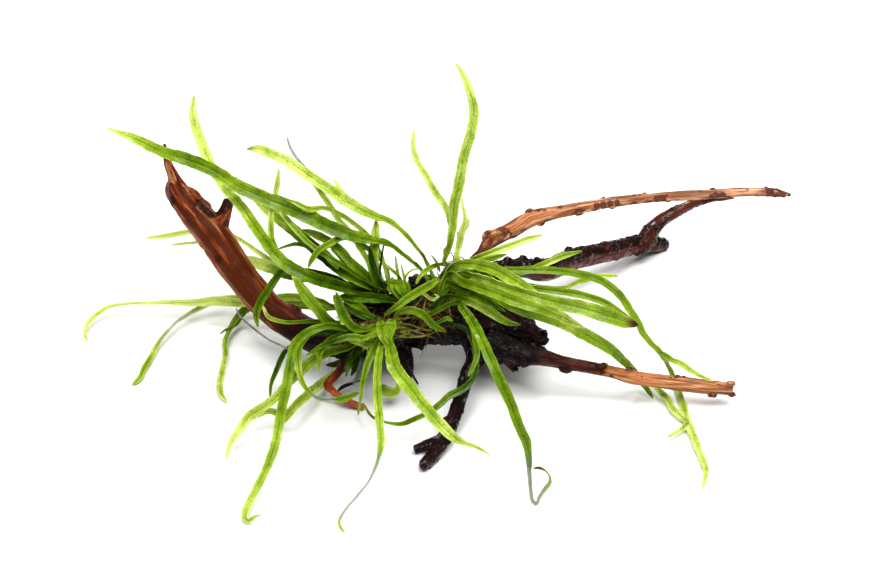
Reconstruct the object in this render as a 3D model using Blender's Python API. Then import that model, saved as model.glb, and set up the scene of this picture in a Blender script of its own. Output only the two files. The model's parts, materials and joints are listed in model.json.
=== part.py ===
"""Java fern on driftwood: a clump of narrow, forked fern fronds on a small piece of branching root wood.

Every route is traced from one photograph and written as (column, row, height, size):
column and row are the place in the photograph, height is the height above the table in millimetres,
and size is the width of a frond or the diameter of the wood there, in millimetres.
A point's place in space is where the line of sight through (column, row) meets its height.
"""

import math

import bmesh
import bpy
import numpy as np
from mathutils import Vector, noise

MM = 0.001

# The line of sight
PHOTO_CENTRE = (440.0, 294.0)
PIXEL = 0.4 * MM
VIEW_DISTANCE = 750 * MM
VIEW_ELEVATION = math.radians(32)
AIM_POINT = np.array((0.0, 0.0, 30 * MM))
TO_ORIGIN = np.array((1.1, 7.5, 0.0)) * MM

# Fits
GAP = 0.3 * MM
TABLE_SIZE = 0.6

# Wood
WOOD_SIDES = 10
STUB_SIDES = 8
WOOD_STEP = 6.5 * MM
WOOD_LUMPS = 0.10
LUMP_SIZE = 9 * MM

# Rhizomes
RHIZOME_SIDES = 8
RHIZOME_STEP = 4 * MM
AXIS_STEP = 0.5 * MM

# Fronds
BLADE_THICKNESS = 0.8 * MM
STALK_WIDTH = 1.5 * MM
TIP_WIDTH = 0.5 * MM
BLADE_STEP = 15 * MM
BLADE_TURN = math.radians(30)
SAMPLE_STEP = 2.5 * MM
LEAST_RINGS = 5
LOBE_FOOT = 1.8 * MM

# A blade keeps nearly its full width where it looks narrow: it is turned edge-on there instead
FULL_SHARE = 0.8
EVEN_WIDTH = 0.5
BASE_RAMP = 0.25
TIP_RAMP = 0.2

# Spreading the fronds apart along the line of sight
CLEARANCE = 0.75 * MM
SPREAD_SWEEPS = 400
TOUCH_SHARE = 0.9
FREE_LENGTH = 1
CROSSING_BREAK = 2
ROOT_PLAY = 1.6 * MM
SPREAD_PACE = 1.6
OWN_SHARE = 0.5
LYING_SHARE = 0.85

LIMBS = {
    "wood_hub": [
        (338, 342, 19, 13), (360, 334, 20, 17), (385, 324, 21, 20), (412, 316, 22, 22), (440, 313, 23, 24),
        (468, 316, 23, 23), (492, 323, 22, 21), (510, 332, 19, 17), (524, 338, 17, 13), (536, 343, 15, 8),
    ],
    "wood_left_branch": [
        (352, 338, 20, 12), (330, 341, 19, 12), (305, 333, 20, 12), (286, 321, 22, 12.2), (269, 308, 26, 12.4),
        (253, 291, 31, 12.8), (238, 271, 37, 13.2), (225, 252, 43, 13), (211, 232, 49, 12.8),
        (193, 212, 55, 12), (180, 195, 61, 9.6), (174, 178, 66, 5), (168, 165, 70, 3.4), (166, 149, 75, 1.6),
    ],
    "wood_upper_right_branch": [
        (455, 290, 30, 7), (466, 268, 36, 6), (476, 254, 40, 5), (490, 241, 42, 6), (510, 231, 44, 6.2),
        (533, 218.5, 45, 6), (560, 212, 46, 5.2), (600, 204, 48, 4.2), (650, 198, 50, 3.7),
        (700, 194.5, 51, 3.7), (745, 192, 51, 3.4), (775, 192.5, 50, 2.6), (790, 195, 49, 1.2),
    ],
    "wood_middle_right_branch": [
        (474, 296, 27, 9), (500, 270, 27, 7), (522, 268, 25, 7), (545, 270, 22, 8.4), (568, 261, 18, 7.8),
        (590, 256, 15, 7.2), (620, 249, 10.5, 6.6), (645, 243.5, 6.5, 6.8), (660, 243.5, 3.4, 6.4), (667, 245, 2, 5),
    ],
    "wood_middle_right_twig": [
        (645, 245, 7, 6), (651, 235, 10, 6), (655, 222, 13, 5.2), (668, 212, 16, 4.4), (685, 203, 18, 3.6),
        (705, 199, 19, 2.6), (733, 197.5, 19, 1.2),
    ],
    "wood_lower_right_branch": [
        (490, 343, 20, 9.6), (520, 353.5, 19, 8.2), (545, 358, 18, 6.6), (570, 364, 16, 5.2), (600, 369.5, 14.5, 4.8),
        (635, 377.5, 12.5, 5.4), (675, 383, 10.5, 5.6), (710, 387.5, 9, 5.6), (731, 389, 8, 5),
    ],
    "wood_front_leg": [
        (474, 338, 19, 8), (476, 356, 15, 7), (468, 375, 12, 5.6), (462, 393, 10, 5.2), (455, 414, 7.5, 5.2),
        (446, 434, 5, 5.2), (437, 450, 3.0, 5), (425, 465, 1.5, 4.8),
    ],
    "wood_red_twig": [
        (360, 334, 19, 5), (355, 345, 17, 3.2), (349, 354, 15, 3), (344, 363, 13, 3), (338, 373, 10.5, 3),
        (328, 385, 7.5, 3.2), (334, 392, 6, 3), (344, 400, 4, 2.8), (354, 404, 2.6, 2.8), (363, 407, 1.6, 2.4),
    ],
}

# Stubs that grow from a limb and are one piece with it
STUBS = {
    "wood_hub": [
        [(400, 322, 20, 10), (399, 345, 13, 9), (404, 361, 6.5, 7.4), (407, 374, 1.6, 5)],
        [(404, 312, 22, 14), (384, 311, 16, 11), (366, 311, 9, 9), (350, 312, 2.0, 8)],
        [(500, 322, 22, 13), (518, 322, 22, 8), (533, 322, 20, 3)],
        [(440, 306, 26, 15), (430, 290, 30, 12), (415, 283, 32, 8)],
    ],
    "wood_left_branch": [
        [(211, 236, 50, 11), (219, 223, 53, 8.4), (225, 212, 55.5, 5.6), (228, 202, 58, 3.6)],
    ],
    "wood_front_leg": [
        [(441, 440, 4.4, 4.6), (428, 445, 3.4, 4), (415, 449, 2.4, 3)],
    ],
}

# What each limb is cut clear of, where it meets the wood that it grows from
GROWS_FROM = {
    "wood_left_branch": ["wood_hub"],
    "wood_upper_right_branch": ["wood_hub"],
    "wood_middle_right_branch": ["wood_hub", "wood_upper_right_branch"],
    "wood_middle_right_twig": ["wood_middle_right_branch"],
    "wood_lower_right_branch": ["wood_hub"],
    "wood_front_leg": ["wood_hub"],
    "wood_red_twig": ["wood_hub", "wood_left_branch"],
}

RHIZOMES = {
    "rhizome_front": [
        (340, 336, 29, 4.0), (356, 330, 31, 4.6), (374, 326, 33, 4.8), (392, 326, 34, 4.8), (404, 328, 34, 3.6),
    ],
    "rhizome_rear": [(348, 300, 27, 4.0), (364, 294, 31, 4.6), (382, 289, 34, 4.8), (400, 285, 37, 3.8)],
    "rhizome_right": [
        (424, 322, 35, 4.0), (430, 310, 37, 4.8), (438, 296, 39, 5), (444, 281, 41, 5), (452, 269, 43, 4.8),
        (466, 263, 44, 3.6),
    ],
}

# Fronds, in the order in which they leave each rhizome. The first route is the blade, the others its side lobes.
FRONDS = {
    "rhizome_rear": {
        "frond_left_01": [[
            (345, 305, 25, 1.6), (315, 300, 20, 2.4), (290, 297, 16, 3.0), (242, 303, 12.5, 3.2), (212, 301, 11, 3.6),
            (195, 303, 10, 2.8), (172, 303, 9, 2.0), (150, 304, 8.5, 1.2), (136, 304, 8, 1.0), (122, 305, 7, 1.2),
            (108, 308, 5.5, 1.4), (94, 317, 4.2, 2.0), (87, 326, 3, 1.6), (85, 334, 2.2, 1.2), (88, 341, 1.5, 0.6),
        ]],
        "frond_left_02": [[
            (345, 306, 21, 1.6), (300, 303, 14, 2.4), (265, 298, 10, 2.6), (234, 298, 8.5, 2.4), (221, 299, 7.5, 2.4),
            (209, 303, 7, 2.4), (198, 309, 6, 2.0), (186, 316, 5, 1.6), (175, 324, 4, 1.0), (164, 336, 3.5, 1.4),
            (158, 344, 3, 1.8), (151, 357, 2.5, 2.2), (144, 369, 2, 2.4), (139, 379, 1.6, 2.0), (132, 385, 1.2, 0.8),
        ]],
        "frond_left_03": [[
            (340, 308, 18, 1.6), (295, 306, 11, 2.4), (264, 304, 8, 3.0), (246, 309, 6.5, 3.2), (237, 319, 5.5, 3.2),
            (230, 330, 4.5, 2.0), (226, 341, 3.6, 1.8), (226, 355, 2.8, 2.0), (223, 369, 2, 2.2), (220, 383, 1.6, 2.4),
            (221, 393, 1.4, 2.4), (227, 402, 1.0, 0.8),
        ]],
        "frond_left_04": [[
            (348, 292, 32, 1.6), (320, 282, 35, 3.0), (290, 275, 34, 4.0), (272, 268, 32, 4.8), (257, 263, 31, 4.8),
            (243, 258, 29, 2.0),
        ]],
        "frond_left_05": [[
            (345, 288, 36, 1.6), (318, 280, 39, 1.8), (290, 270, 40, 2.0), (275, 263, 39, 2.0), (258, 252, 38, 2.0),
            (245, 243, 37, 1.6), (232, 236, 35, 1.6), (189, 232, 32, 2.0), (165, 236, 29, 2.0), (145, 238, 27, 0.6),
        ]],
        "frond_left_06": [[
            (350, 285, 44, 1.6), (325, 275, 51, 2.4), (300, 271, 54, 2.6), (284, 271, 54, 2.6), (274, 281, 52, 2.8),
            (267, 292, 49, 3.0), (259, 305, 46, 2.8), (256, 316, 43, 2.4), (258, 327, 40, 1.2),
        ]],
        "frond_left_07": [[
            (345, 289, 45, 1.4), (318, 280, 52, 2.0), (300, 272, 57, 2.4), (288, 264, 61, 2.4), (278, 253, 64, 2.4),
            (272, 240, 67, 2.4), (271, 225, 70, 2.4), (271, 212, 73, 2.0), (272, 203, 75, 0.6),
        ]],
        "frond_left_08": [[
            (366, 293, 40, 2.0), (350, 289, 45, 4.0), (333, 284, 50, 4.6), (310, 277, 55, 4.8), (291, 268, 58, 5.0),
            (275, 254, 61, 4.8), (263, 238, 64, 4.4), (253, 222, 67, 4.4), (237, 204, 69, 4.2), (221, 185, 71, 3.6),
            (210, 163, 74, 4.0), (200, 139, 82, 4.0), (193, 115, 91, 3.2), (194, 95, 98, 0.8),
        ]],
        "frond_left_09": [[
            (363, 286, 46, 1.6), (346, 275, 52, 3.6), (332, 263, 53, 4.6), (317, 250, 56, 4.8), (303, 238, 59, 4.8),
            (290, 227, 61, 4.8), (275, 215, 64, 4.6), (262, 205, 66, 3.6), (250, 194, 69, 0.8),
        ]],
        "frond_left_10": [[
            (374, 284, 42, 1.4), (364, 278, 47, 2.4), (348, 264, 53, 2.8), (331, 249, 59, 0.8),
        ]],
        "frond_left_11": [[
            (368, 282, 44, 1.4), (340, 264, 53, 2.0), (310, 244, 61, 2.2), (291, 224, 67, 2.2), (278, 204, 71, 2.0),
            (276, 196, 74, 2.0), (278, 180, 81, 2.0), (279, 168, 86, 0.6),
        ]],
        "frond_left_12": [[
            (385, 266, 48, 1.4), (364, 246, 57, 2.0), (350, 238, 61, 2.4), (340, 238, 63, 2.6), (329, 244, 62, 2.6),
            (319, 250, 60, 2.4), (313, 258, 57, 2.2), (308, 268, 54, 0.8),
        ]],
        "frond_left_13": [[
            (380, 286, 40, 1.2), (374, 272, 46, 1.6), (362, 250, 56, 2.0), (350, 233, 62, 2.4), (339, 220, 66, 2.4),
            (331, 207, 70, 2.4), (322, 194, 75, 2.4), (314, 182, 80, 2.0), (305, 169, 85, 1.6), (297, 159, 89, 1.2),
            (290, 147, 92, 1.0), (287, 137, 95, 0.6),
        ]],
        "frond_left_14": [[
            (384, 284, 41, 1.6), (377, 273, 47, 3.0), (374, 257, 55, 3.6), (375, 240, 62, 3.8), (376, 226, 67.5, 2.6),
            (376, 219, 70, 0.8),
        ]],
        "frond_left_15": [[
            (388, 280, 43, 1.2), (381, 255, 54, 1.6), (370, 238, 62, 2.0), (352, 222, 68, 2.0), (338, 213, 71, 1.8),
            (325, 208, 73, 2.0), (308, 209, 74, 2.4), (298, 204, 76, 2.0), (285, 199, 78, 0.6),
        ]],
    },
    "rhizome_front": {
        "frond_front_04": [[
            (340, 334, 31, 2.0), (320, 331, 35, 2.4), (306, 337, 37, 2.6), (299, 348, 36, 2.6), (298, 364, 32, 2.8),
            (302, 381, 27, 2.0), (309, 391, 23.5, 1.4), (320, 397, 20, 1.6), (332, 397, 18, 2.8), (345, 393, 16, 3.0),
            (359, 387, 14, 1.0),
        ]],
        "frond_front_01": [[
            (342, 325, 34, 1.4), (330, 322, 37, 1.4), (315, 321, 41, 1.4), (285, 322, 39, 1.4), (270, 318, 38, 1.6),
            (262, 305, 38, 0.6),
        ]],
        "frond_front_02": [[
            (341, 329, 38, 2.4), (326, 319, 44, 4.0), (314, 305, 49, 4.4), (302, 289, 56, 4.4), (292, 276, 62, 0.8),
        ]],
        "frond_front_03": [[
            (345, 328, 41, 2.0), (322, 327, 47, 3.0), (305, 334, 45, 3.4), (294, 346, 43, 3.4), (290, 365, 38, 3.6),
            (286, 388, 32, 4.0), (281, 412, 25, 4.0), (275, 445, 17, 3.8), (262, 478, 9.5, 3.4), (250, 501, 4.5, 3.2),
            (245, 514, 2.6, 2.8), (247, 521, 2.2, 2.0), (254, 517, 3, 1.6), (261, 515, 4, 0.6),
        ]],
        "frond_front_05": [[
            (350, 333, 37, 2.0), (330, 340, 38, 2.4), (321, 350, 35, 2.4), (319, 372, 29, 0.8),
        ]],
        "frond_front_06": [[
            (354, 344, 28, 2.2), (331, 351, 29, 3.6), (316, 358, 31, 4.0), (303, 369, 28, 4.0), (290, 381, 25, 3.6),
            (274, 399, 20, 3.4), (260, 409, 16, 3.8), (248, 418, 12, 4.2), (238, 432, 8, 3.2), (230, 445, 5, 2.0),
            (226, 459, 2.6, 0.6),
        ]],
        "frond_front_08": [[
            (364, 340, 30, 1.6), (366, 349, 23, 1.8), (362, 358, 15.5, 2.2), (353, 365, 9.5, 2.6), (340, 371, 6, 3.0),
            (328, 378, 4, 3.2), (317, 387, 5.5, 3.6), (305, 397, 8, 3.6), (293, 408, 9, 3.2), (283, 420, 8, 2.8),
            (274, 430, 6, 0.8),
        ], [
            (291, 410, 10, 2.4), (280, 414, 8.5, 2.2), (266, 412, 7, 0.6),
        ]],
        "frond_front_09": [[
            (364, 330, 38, 2.0), (353, 327, 42, 3.2), (344, 316, 47, 3.6), (340, 305, 52, 3.2), (336, 292, 57, 0.8),
        ]],
        "frond_front_07": [[
            (372, 334, 36, 1.6), (362, 338, 39, 2.4), (350, 337, 40, 2.8), (335, 341, 39, 2.2), (318, 348, 37, 1.6),
            (306, 356, 34, 0.6),
        ]],
        "frond_front_10": [[
            (381, 336, 35, 1.4), (374, 350, 34, 3.0), (367, 366, 30, 2.8), (363, 383, 25, 2.0), (361, 398, 19, 1.0),
            (358, 415, 12, 0.6),
        ]],
        "frond_front_11": [[
            (384, 338, 37, 1.6), (379, 356, 39, 2.8), (377, 379, 37, 3.2), (378, 402, 33, 3.2), (380, 425, 28, 3.2),
            (381, 445, 23, 2.8), (378, 461, 18, 1.6), (370, 480, 12.5, 1.2), (357, 497, 7.5, 1.2), (345, 511, 4.5, 1.4),
            (339, 523, 2.6, 1.6), (345, 533, 1.4, 0.6),
        ]],
        "frond_front_12": [[
            (390, 335, 38, 2.4), (391, 352, 43, 4.6), (396, 370, 44, 5.4), (410, 388, 42, 5.2), (425, 407, 38, 4.8),
            (440, 424, 33, 4.6), (453, 436, 29, 3.8), (466, 443, 25, 2.0), (478, 447, 22, 1.4), (490, 455, 18, 0.6),
        ]],
        "frond_front_13": [[
            (396, 316, 39, 1.6), (407, 310, 43, 3.0), (418, 312, 45, 3.2), (427, 318, 46, 3.0), (432, 324, 45, 2.8),
            (446, 332, 42, 1.2),
        ]],
    },
    "rhizome_right": {
        "frond_right_01": [[
            (470, 334, 34, 1.6), (475, 352, 29, 1.8), (476, 370, 25, 2.0), (471, 381, 22, 2.4), (464, 388, 20.5, 2.8),
            (449, 396, 18, 2.8), (438, 406, 15.5, 2.6), (426, 414, 13, 2.2), (415, 419, 11, 2.0), (402, 424, 9, 1.8),
            (388, 423, 8, 1.0), (374, 418, 7, 1.0), (363, 403, 6, 0.6),
        ]],
        "frond_right_02": [[
            (455, 302, 42, 2.0), (463, 309, 47, 3.0), (471, 320, 50, 3.6), (478, 332, 51, 4.0), (483, 343, 50, 4.2),
            (488, 354, 48, 4.4), (494, 368, 45, 4.4), (503, 387, 40, 4.2), (512, 406, 34, 4.0), (519, 426, 27, 4.0),
            (526, 445, 19.5, 3.0), (529, 458, 14.5, 2.2), (530, 471, 9.5, 2.0), (530, 484, 5.5, 1.6),
            (532, 498, 2.6, 1.4), (538, 500, 2.0, 1.4), (545, 488, 3, 1.2), (550, 479, 4.5, 1.0), (544, 469, 6, 0.8),
            (536, 467, 7, 0.6),
        ], [
            (473, 326, 49, 1.6), (476, 343, 42, 2.4), (477, 355, 37, 2.0), (473, 367, 32, 1.6), (468, 376, 28, 0.6),
        ]],
        "frond_right_03": [[
            (442, 298, 42, 2.0), (464, 300, 45, 3.0), (480, 306, 46, 3.4), (492, 313, 45, 3.6), (503, 320, 43, 3.0),
            (520, 325, 40, 0.8),
        ]],
        "frond_right_04": [[
            (448, 288, 43, 2.0), (469, 287, 48, 3.2), (492, 294, 51, 4.2), (515, 307, 50, 4.4), (538, 315, 48, 4.4),
            (563, 323, 44, 4.8), (577, 330, 41, 5.0), (592, 338, 37, 5.0), (609, 348, 31, 4.4), (623, 360, 22, 3.4),
            (634, 371, 12, 2.6), (641, 381, 5.5, 2.2), (648, 390, 3.5, 2.0), (653, 398, 2.4, 0.8),
        ]],
        "frond_right_15": [[
            (438, 281, 46, 1.6), (430, 285, 49, 3.0), (416, 293, 50, 3.2), (399, 305, 48, 2.8), (384, 316, 45, 0.8),
        ]],
        "frond_right_05": [[
            (446, 277, 46, 2.0), (465, 283, 53, 3.4), (490, 291, 57, 4.4), (515, 301, 57, 4.2), (540, 309, 55, 3.4),
            (563, 317, 52, 0.8),
        ]],
        "frond_left_16": [[
            (421, 270, 45, 1.6), (409, 260, 52, 1.8), (385, 243, 60, 2.6), (369, 240, 63, 3.6), (347, 234, 66, 5.0),
            (327, 226, 69, 5.6), (300, 212, 73, 6.2), (264, 198, 78, 5.6), (236, 185, 81, 5.2), (212, 170, 84, 5.2),
            (189, 160, 86, 5.2), (165, 153, 87, 4.4), (135, 139, 89, 3.6), (107, 128, 90, 0.8),
        ]],
        "frond_left_17": [[
            (428, 266, 46, 1.4), (418, 250, 55, 1.6), (408, 238, 60, 1.8), (398, 228, 65, 2.2), (388, 221, 68, 2.6),
            (377, 217, 71, 3.0), (360, 209, 75, 4.2), (345, 200, 78, 4.6), (332, 191, 81, 4.4), (317, 181, 84, 4.2),
            (301, 170, 87, 4.2), (287, 161, 89, 4.2), (272, 154, 91, 4.0), (258, 149, 92, 3.4), (247, 149, 92, 0.8),
        ], [
            (352, 205, 76.5, 2.0), (343, 194, 80, 2.0), (334, 179, 85, 0.6),
        ]],
        "frond_right_07": [[
            (455, 275, 48, 2.0), (478, 277, 55, 3.2), (505, 287, 59, 4.0), (540, 298, 60, 4.6), (563, 304, 59, 5.2),
            (586, 309, 57, 5.8), (609, 316, 54, 6.0), (626, 322, 51, 5.0), (638, 325, 49, 3.0),
        ]],
        "frond_right_06": [[
            (450, 268, 50, 2.0), (465, 264, 57, 3.8), (487, 267, 61, 4.6), (505, 275, 62, 4.8), (522, 286, 61, 4.8),
            (535, 297, 58, 4.6), (548, 308, 54, 4.4), (565, 318, 49, 3.8), (585, 328, 44, 0.8),
        ]],
        "frond_right_08": [[
            (462, 274, 46, 1.6), (500, 284, 50, 2.0), (540, 289, 51, 2.4), (557, 291, 51, 2.6), (572, 293, 50, 2.8),
            (586, 296, 49, 2.8), (599, 300, 47, 2.8), (611, 306, 45, 2.4), (623, 314, 42, 2.0), (632, 320, 40, 0.8),
        ]],
        "frond_right_09": [[
            (472, 276, 44, 1.6), (510, 281, 48, 2.0), (545, 288, 48, 2.0), (565, 288, 48, 2.0), (578, 282, 49, 2.0),
            (592, 278, 49, 2.4), (604, 276, 49, 2.0), (618, 276, 48, 0.6),
        ]],
        "frond_right_10": [[
            (462, 267, 50, 1.6), (490, 270, 56, 2.4), (520, 270, 58, 2.8), (540, 270, 58, 3.0), (557, 271, 58, 3.0),
            (574, 273, 57, 3.0), (588, 276, 55, 3.2), (602, 281, 53, 3.2), (613, 289, 50, 3.2), (623, 299, 45, 3.2),
            (630, 310, 41, 3.2), (638, 322, 36, 3.0), (643, 333, 31, 2.8), (651, 343, 27, 2.4), (659, 351, 24, 2.4),
            (664, 358, 18, 2.0), (669, 367, 8, 1.8), (674, 377, 3.2, 2.0), (679, 391, 2.4, 2.2), (683, 404, 2.4, 2.6),
            (687, 418, 2.4, 2.8), (692, 432, 2.4, 3.2), (697, 445, 2.2, 3.2), (702, 458, 2.0, 2.8),
            (706, 470, 1.8, 2.4), (705, 479, 1.6, 1.6), (702, 488, 1.4, 0.6),
        ], [
            (661, 353, 23, 1.8), (670, 359, 21.5, 2.0), (681, 363.5, 19.5, 2.4), (690, 370, 17.5, 2.2),
            (701, 376, 15.5, 1.6), (713, 381, 13.5, 0.6),
        ], [
            (688, 424, 2.4, 2.0), (681, 416, 3, 2.6), (674, 410, 3, 2.6), (668, 400, 3, 2.6), (660, 391, 3, 2.4),
            (654, 384, 3.2, 1.8), (650, 379, 3.4, 0.8),
        ]],
        "frond_right_11": [[
            (466, 266, 47, 1.6), (488, 271, 50, 2.0), (512, 275, 51, 2.4), (529, 270, 52, 2.4), (547, 263, 53, 2.4),
            (563, 256, 53, 2.4), (582, 251, 53, 0.6),
        ]],
        "frond_right_12": [[
            (444, 262, 48, 1.4), (448, 249, 54, 2.0), (451, 236, 60, 2.4), (453, 222, 66, 2.8), (454, 206, 73, 3.2),
            (458, 189, 80, 3.4), (461, 173, 87, 3.6), (464, 156, 94, 3.4), (469, 140, 101, 3.6), (473, 123, 108, 3.8),
            (474, 110, 113, 4.0), (470, 93, 120, 3.2), (463, 76, 126, 2.4), (456, 63, 131, 0.8),
        ], [
            (452, 226, 64, 2.0), (446, 208, 71, 2.6), (435, 192, 77, 2.8), (425, 174, 84, 2.6), (416, 158, 90, 2.4),
            (413, 146, 95, 2.0), (414, 129, 101, 0.6),
        ]],
        "frond_right_13": [[
            (457, 257, 47, 1.4), (459, 246, 51, 2.0), (463, 232, 56, 2.4), (465, 218, 61, 2.8), (462, 202, 68, 0.8),
        ], [
            (464, 224, 59, 1.8), (468, 213, 64, 1.8), (469, 201, 69, 0.6),
        ]],
        "frond_right_14": [[
            (469, 261, 47, 1.6), (480, 257, 50, 2.4), (496, 251, 53, 2.8), (512, 245, 55, 2.8), (528, 239, 57, 2.4),
            (543, 235, 58, 0.8),
        ]],
    },
}


def rgb(red, green, blue):
    """A colour as the eye reads it, in 0 to 255, as Blender's linear values."""
    return tuple((value / 255) ** 2.2 for value in (red, green, blue))


FINISHES = {
    "dark_wood": (rgb(58, 26, 20), 0.32),
    "red_wood": (rgb(122, 52, 22), 0.38),
    "tan_wood": (rgb(190, 112, 60), 0.5),
    "rhizome": (rgb(72, 58, 30), 0.6),
    "frond": (rgb(90, 155, 25), 0.3),
}

LIMB_FINISH = {
    "wood_left_branch": "red_wood",
    "wood_upper_right_branch": "tan_wood",
    "wood_lower_right_branch": "tan_wood",
    "wood_red_twig": "red_wood",
}


# Placing

def sight_axes():
    """The camera's place and its forward, right and up directions."""
    cos_e = math.cos(VIEW_ELEVATION)
    sin_e = math.sin(VIEW_ELEVATION)
    forward = np.array((0.0, cos_e, -sin_e))
    right = np.array((1.0, 0.0, 0.0))
    up = np.array((0.0, sin_e, cos_e))
    return AIM_POINT - VIEW_DISTANCE * forward, forward, right, up


def placed(route):
    """A route's points in space: rows of x, y, z and size, in metres."""
    eye, forward, right, up = sight_axes()
    rows = []
    for column, row, height, size in route:
        across = (column - PHOTO_CENTRE[0]) * PIXEL / VIEW_DISTANCE
        above = (PHOTO_CENTRE[1] - row) * PIXEL / VIEW_DISTANCE
        ray = forward + across * right + above * up
        reach = (eye[2] - height * MM) / -ray[2]
        point = eye + ray * reach
        rows.append([*point, size * MM * reach / VIEW_DISTANCE])
    return np.array(rows)


def smooth(rows, step, least=3, at=None):
    """Rows read from a smooth curve through the given rows, about a step apart or at the given lengths."""
    lengths = np.linalg.norm(np.diff(rows[:, :3], axis=0), axis=1)
    knots = np.concatenate(([0.0], np.cumsum(lengths)))
    slopes = np.gradient(rows, knots, axis=0)
    if at is None:
        count = max(least, round(knots[-1] / step) + 1)
        at = np.linspace(0.0, knots[-1], count)
    left = np.clip(np.searchsorted(knots, at, side="right") - 1, 0, len(rows) - 2)
    span = (knots[left + 1] - knots[left])[:, None]
    u = (at[:, None] - knots[left][:, None]) / span
    return (
        (2 * u**3 - 3 * u**2 + 1) * rows[left]
        + (u**3 - 2 * u**2 + u) * span * slopes[left]
        + (3 * u**2 - 2 * u**3) * rows[left + 1]
        + (u**3 - u**2) * span * slopes[left + 1]
    )


def stations(rows, step, turn):
    """Fewer rows along the same curve: one for each step of length or turn of direction."""
    ways = np.diff(rows[:, :3], axis=0)
    lengths = np.linalg.norm(ways, axis=1)
    ways /= lengths[:, None]
    bends = np.arccos(np.clip(np.sum(ways[1:] * ways[:-1], axis=1), -1.0, 1.0))
    bends = np.concatenate((bends[:1], (bends[1:] + bends[:-1]) / 2, bends[-1:]))
    effort = np.concatenate(([0.0], np.cumsum(lengths / step + bends / turn)))
    walked = np.concatenate(([0.0], np.cumsum(lengths)))
    count = max(LEAST_RINGS, round(effort[-1]) + 1)
    at = np.interp(np.linspace(0.0, effort[-1], count), effort, walked)
    return smooth(rows, step, at=at)


def sight_at(points):
    """Unit directions from the eye to the points."""
    away = points - sight_axes()[0]
    return away / np.linalg.norm(away, axis=-1, keepdims=True)


# Spreading the fronds

class Chain:
    """A blade's or lobe's centre line, in samples, with where it hangs on its frond."""

    def __init__(self, frond, rows, stem=None, joint=0):
        self.frond = frond
        self.rows = rows
        self.stem = stem
        self.joint = joint
        self.start = 0


def frond_chains():
    """Every blade and lobe as a chain of samples that starts on its rhizome or its blade."""
    chains = []
    for rhizome, fronds in FRONDS.items():
        axis = smooth(placed(RHIZOMES[rhizome]), AXIS_STEP)
        for order, (name, routes) in enumerate(fronds.items()):
            root = axis[round((order + 0.5) / len(fronds) * (len(axis) - 1))].copy()
            root[3] = STALK_WIDTH
            blade = smooth(np.vstack((root, placed(routes[0]))), SAMPLE_STEP)
            stem = Chain(name, blade)
            chains.append(stem)
            for route in routes[1:]:
                lobe = placed(route)
                joint = int(np.argmin(np.linalg.norm(blade[:, :3] - lobe[0, :3], axis=1)))
                lobe[0, :3] = blade[joint, :3]
                chains.append(Chain(name, smooth(lobe, SAMPLE_STEP), stem, joint))
    return chains


def wood_samples():
    """The wood's and the rhizomes' centre lines: rows of x, y, z and diameter, close together."""
    routes = list(LIMBS.values()) + list(RHIZOMES.values())
    for stubs in STUBS.values():
        routes += stubs
    return np.vstack([smooth(placed(route), SAMPLE_STEP) for route in routes])


def crossing_pairs(rows, owner, sight, free):
    """Pairs of samples of two fronds that cover each other in the photograph, and the depth each pair needs."""
    away = rows[:, None, :3] - rows[None, :, :3]
    depth = np.einsum("ijk,ik->ij", away, sight)
    aside = np.sqrt(np.maximum(np.einsum("ijk,ijk->ij", away, away) - depth**2, 0.0))
    reach = (rows[:, None, 3] + rows[None, :, 3]) / 2 * TOUCH_SHARE + CLEARANCE
    apart = owner[:, None] != owner[None, :]
    loose = free[:, None] | free[None, :]
    first, second = np.nonzero(np.triu(apart & loose & (aside < reach), 1))
    return first, second, depth[first, second]


def agreed_sides(first, second, depth, owner, along):
    """One side for each crossing: which of the two fronds is the nearer, from all its pairs together."""
    sides = np.sign(depth)
    order = np.lexsort((along[first], owner[second], owner[first]))
    run = order[:1]
    for index in order[1:]:
        last = run[-1]
        same = owner[first[index]] == owner[first[last]] and owner[second[index]] == owner[second[last]]
        if same and along[first[index]] - along[first[last]] <= CROSSING_BREAK:
            run = np.append(run, index)
            continue
        sides[run] = 1.0 if np.sum(depth[run]) > 0 else -1.0
        run = np.array([index])
    sides[run] = 1.0 if np.sum(depth[run]) > 0 else -1.0
    return sides


def wood_gaps(rows, sight, free):
    """Samples of the fronds that pass over or behind a sample of the wood: their numbers, depth and need."""
    wood = wood_samples()
    away = rows[:, None, :3] - wood[None, :, :3]
    depth = np.einsum("ijk,ik->ij", away, sight)
    aside = np.sqrt(np.maximum(np.einsum("ijk,ijk->ij", away, away) - depth**2, 0.0))
    clear = np.maximum(aside - rows[:, None, 3] / 2, 0.0)
    half = wood[None, :, 3] / 2 * (1 + WOOD_LUMPS) + BLADE_THICKNESS / 2 + CLEARANCE
    need = np.sqrt(np.maximum(half**2 - clear**2, 0.0))
    sample, piece = np.nonzero((need > 0) & free[:, None])
    return sample, depth[sample, piece], need[sample, piece]


def calmed(chains, offset):
    """The offsets evened out along each chain, with its start held to its rhizome or its blade."""
    for chain in chains:
        part = slice(chain.start, chain.start + len(chain.rows))
        own = offset[part]
        if chain.stem:
            own[0] = offset[chain.stem.start + chain.joint]
        else:
            own[0] = np.clip(own[1], -ROOT_PLAY, ROOT_PLAY)
        calm = own.copy()
        calm[1:-1] = own[1:-1] * OWN_SHARE + (own[:-2] + own[2:]) * (1 - OWN_SHARE) / 2
        offset[part] = calm
    return offset


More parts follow.
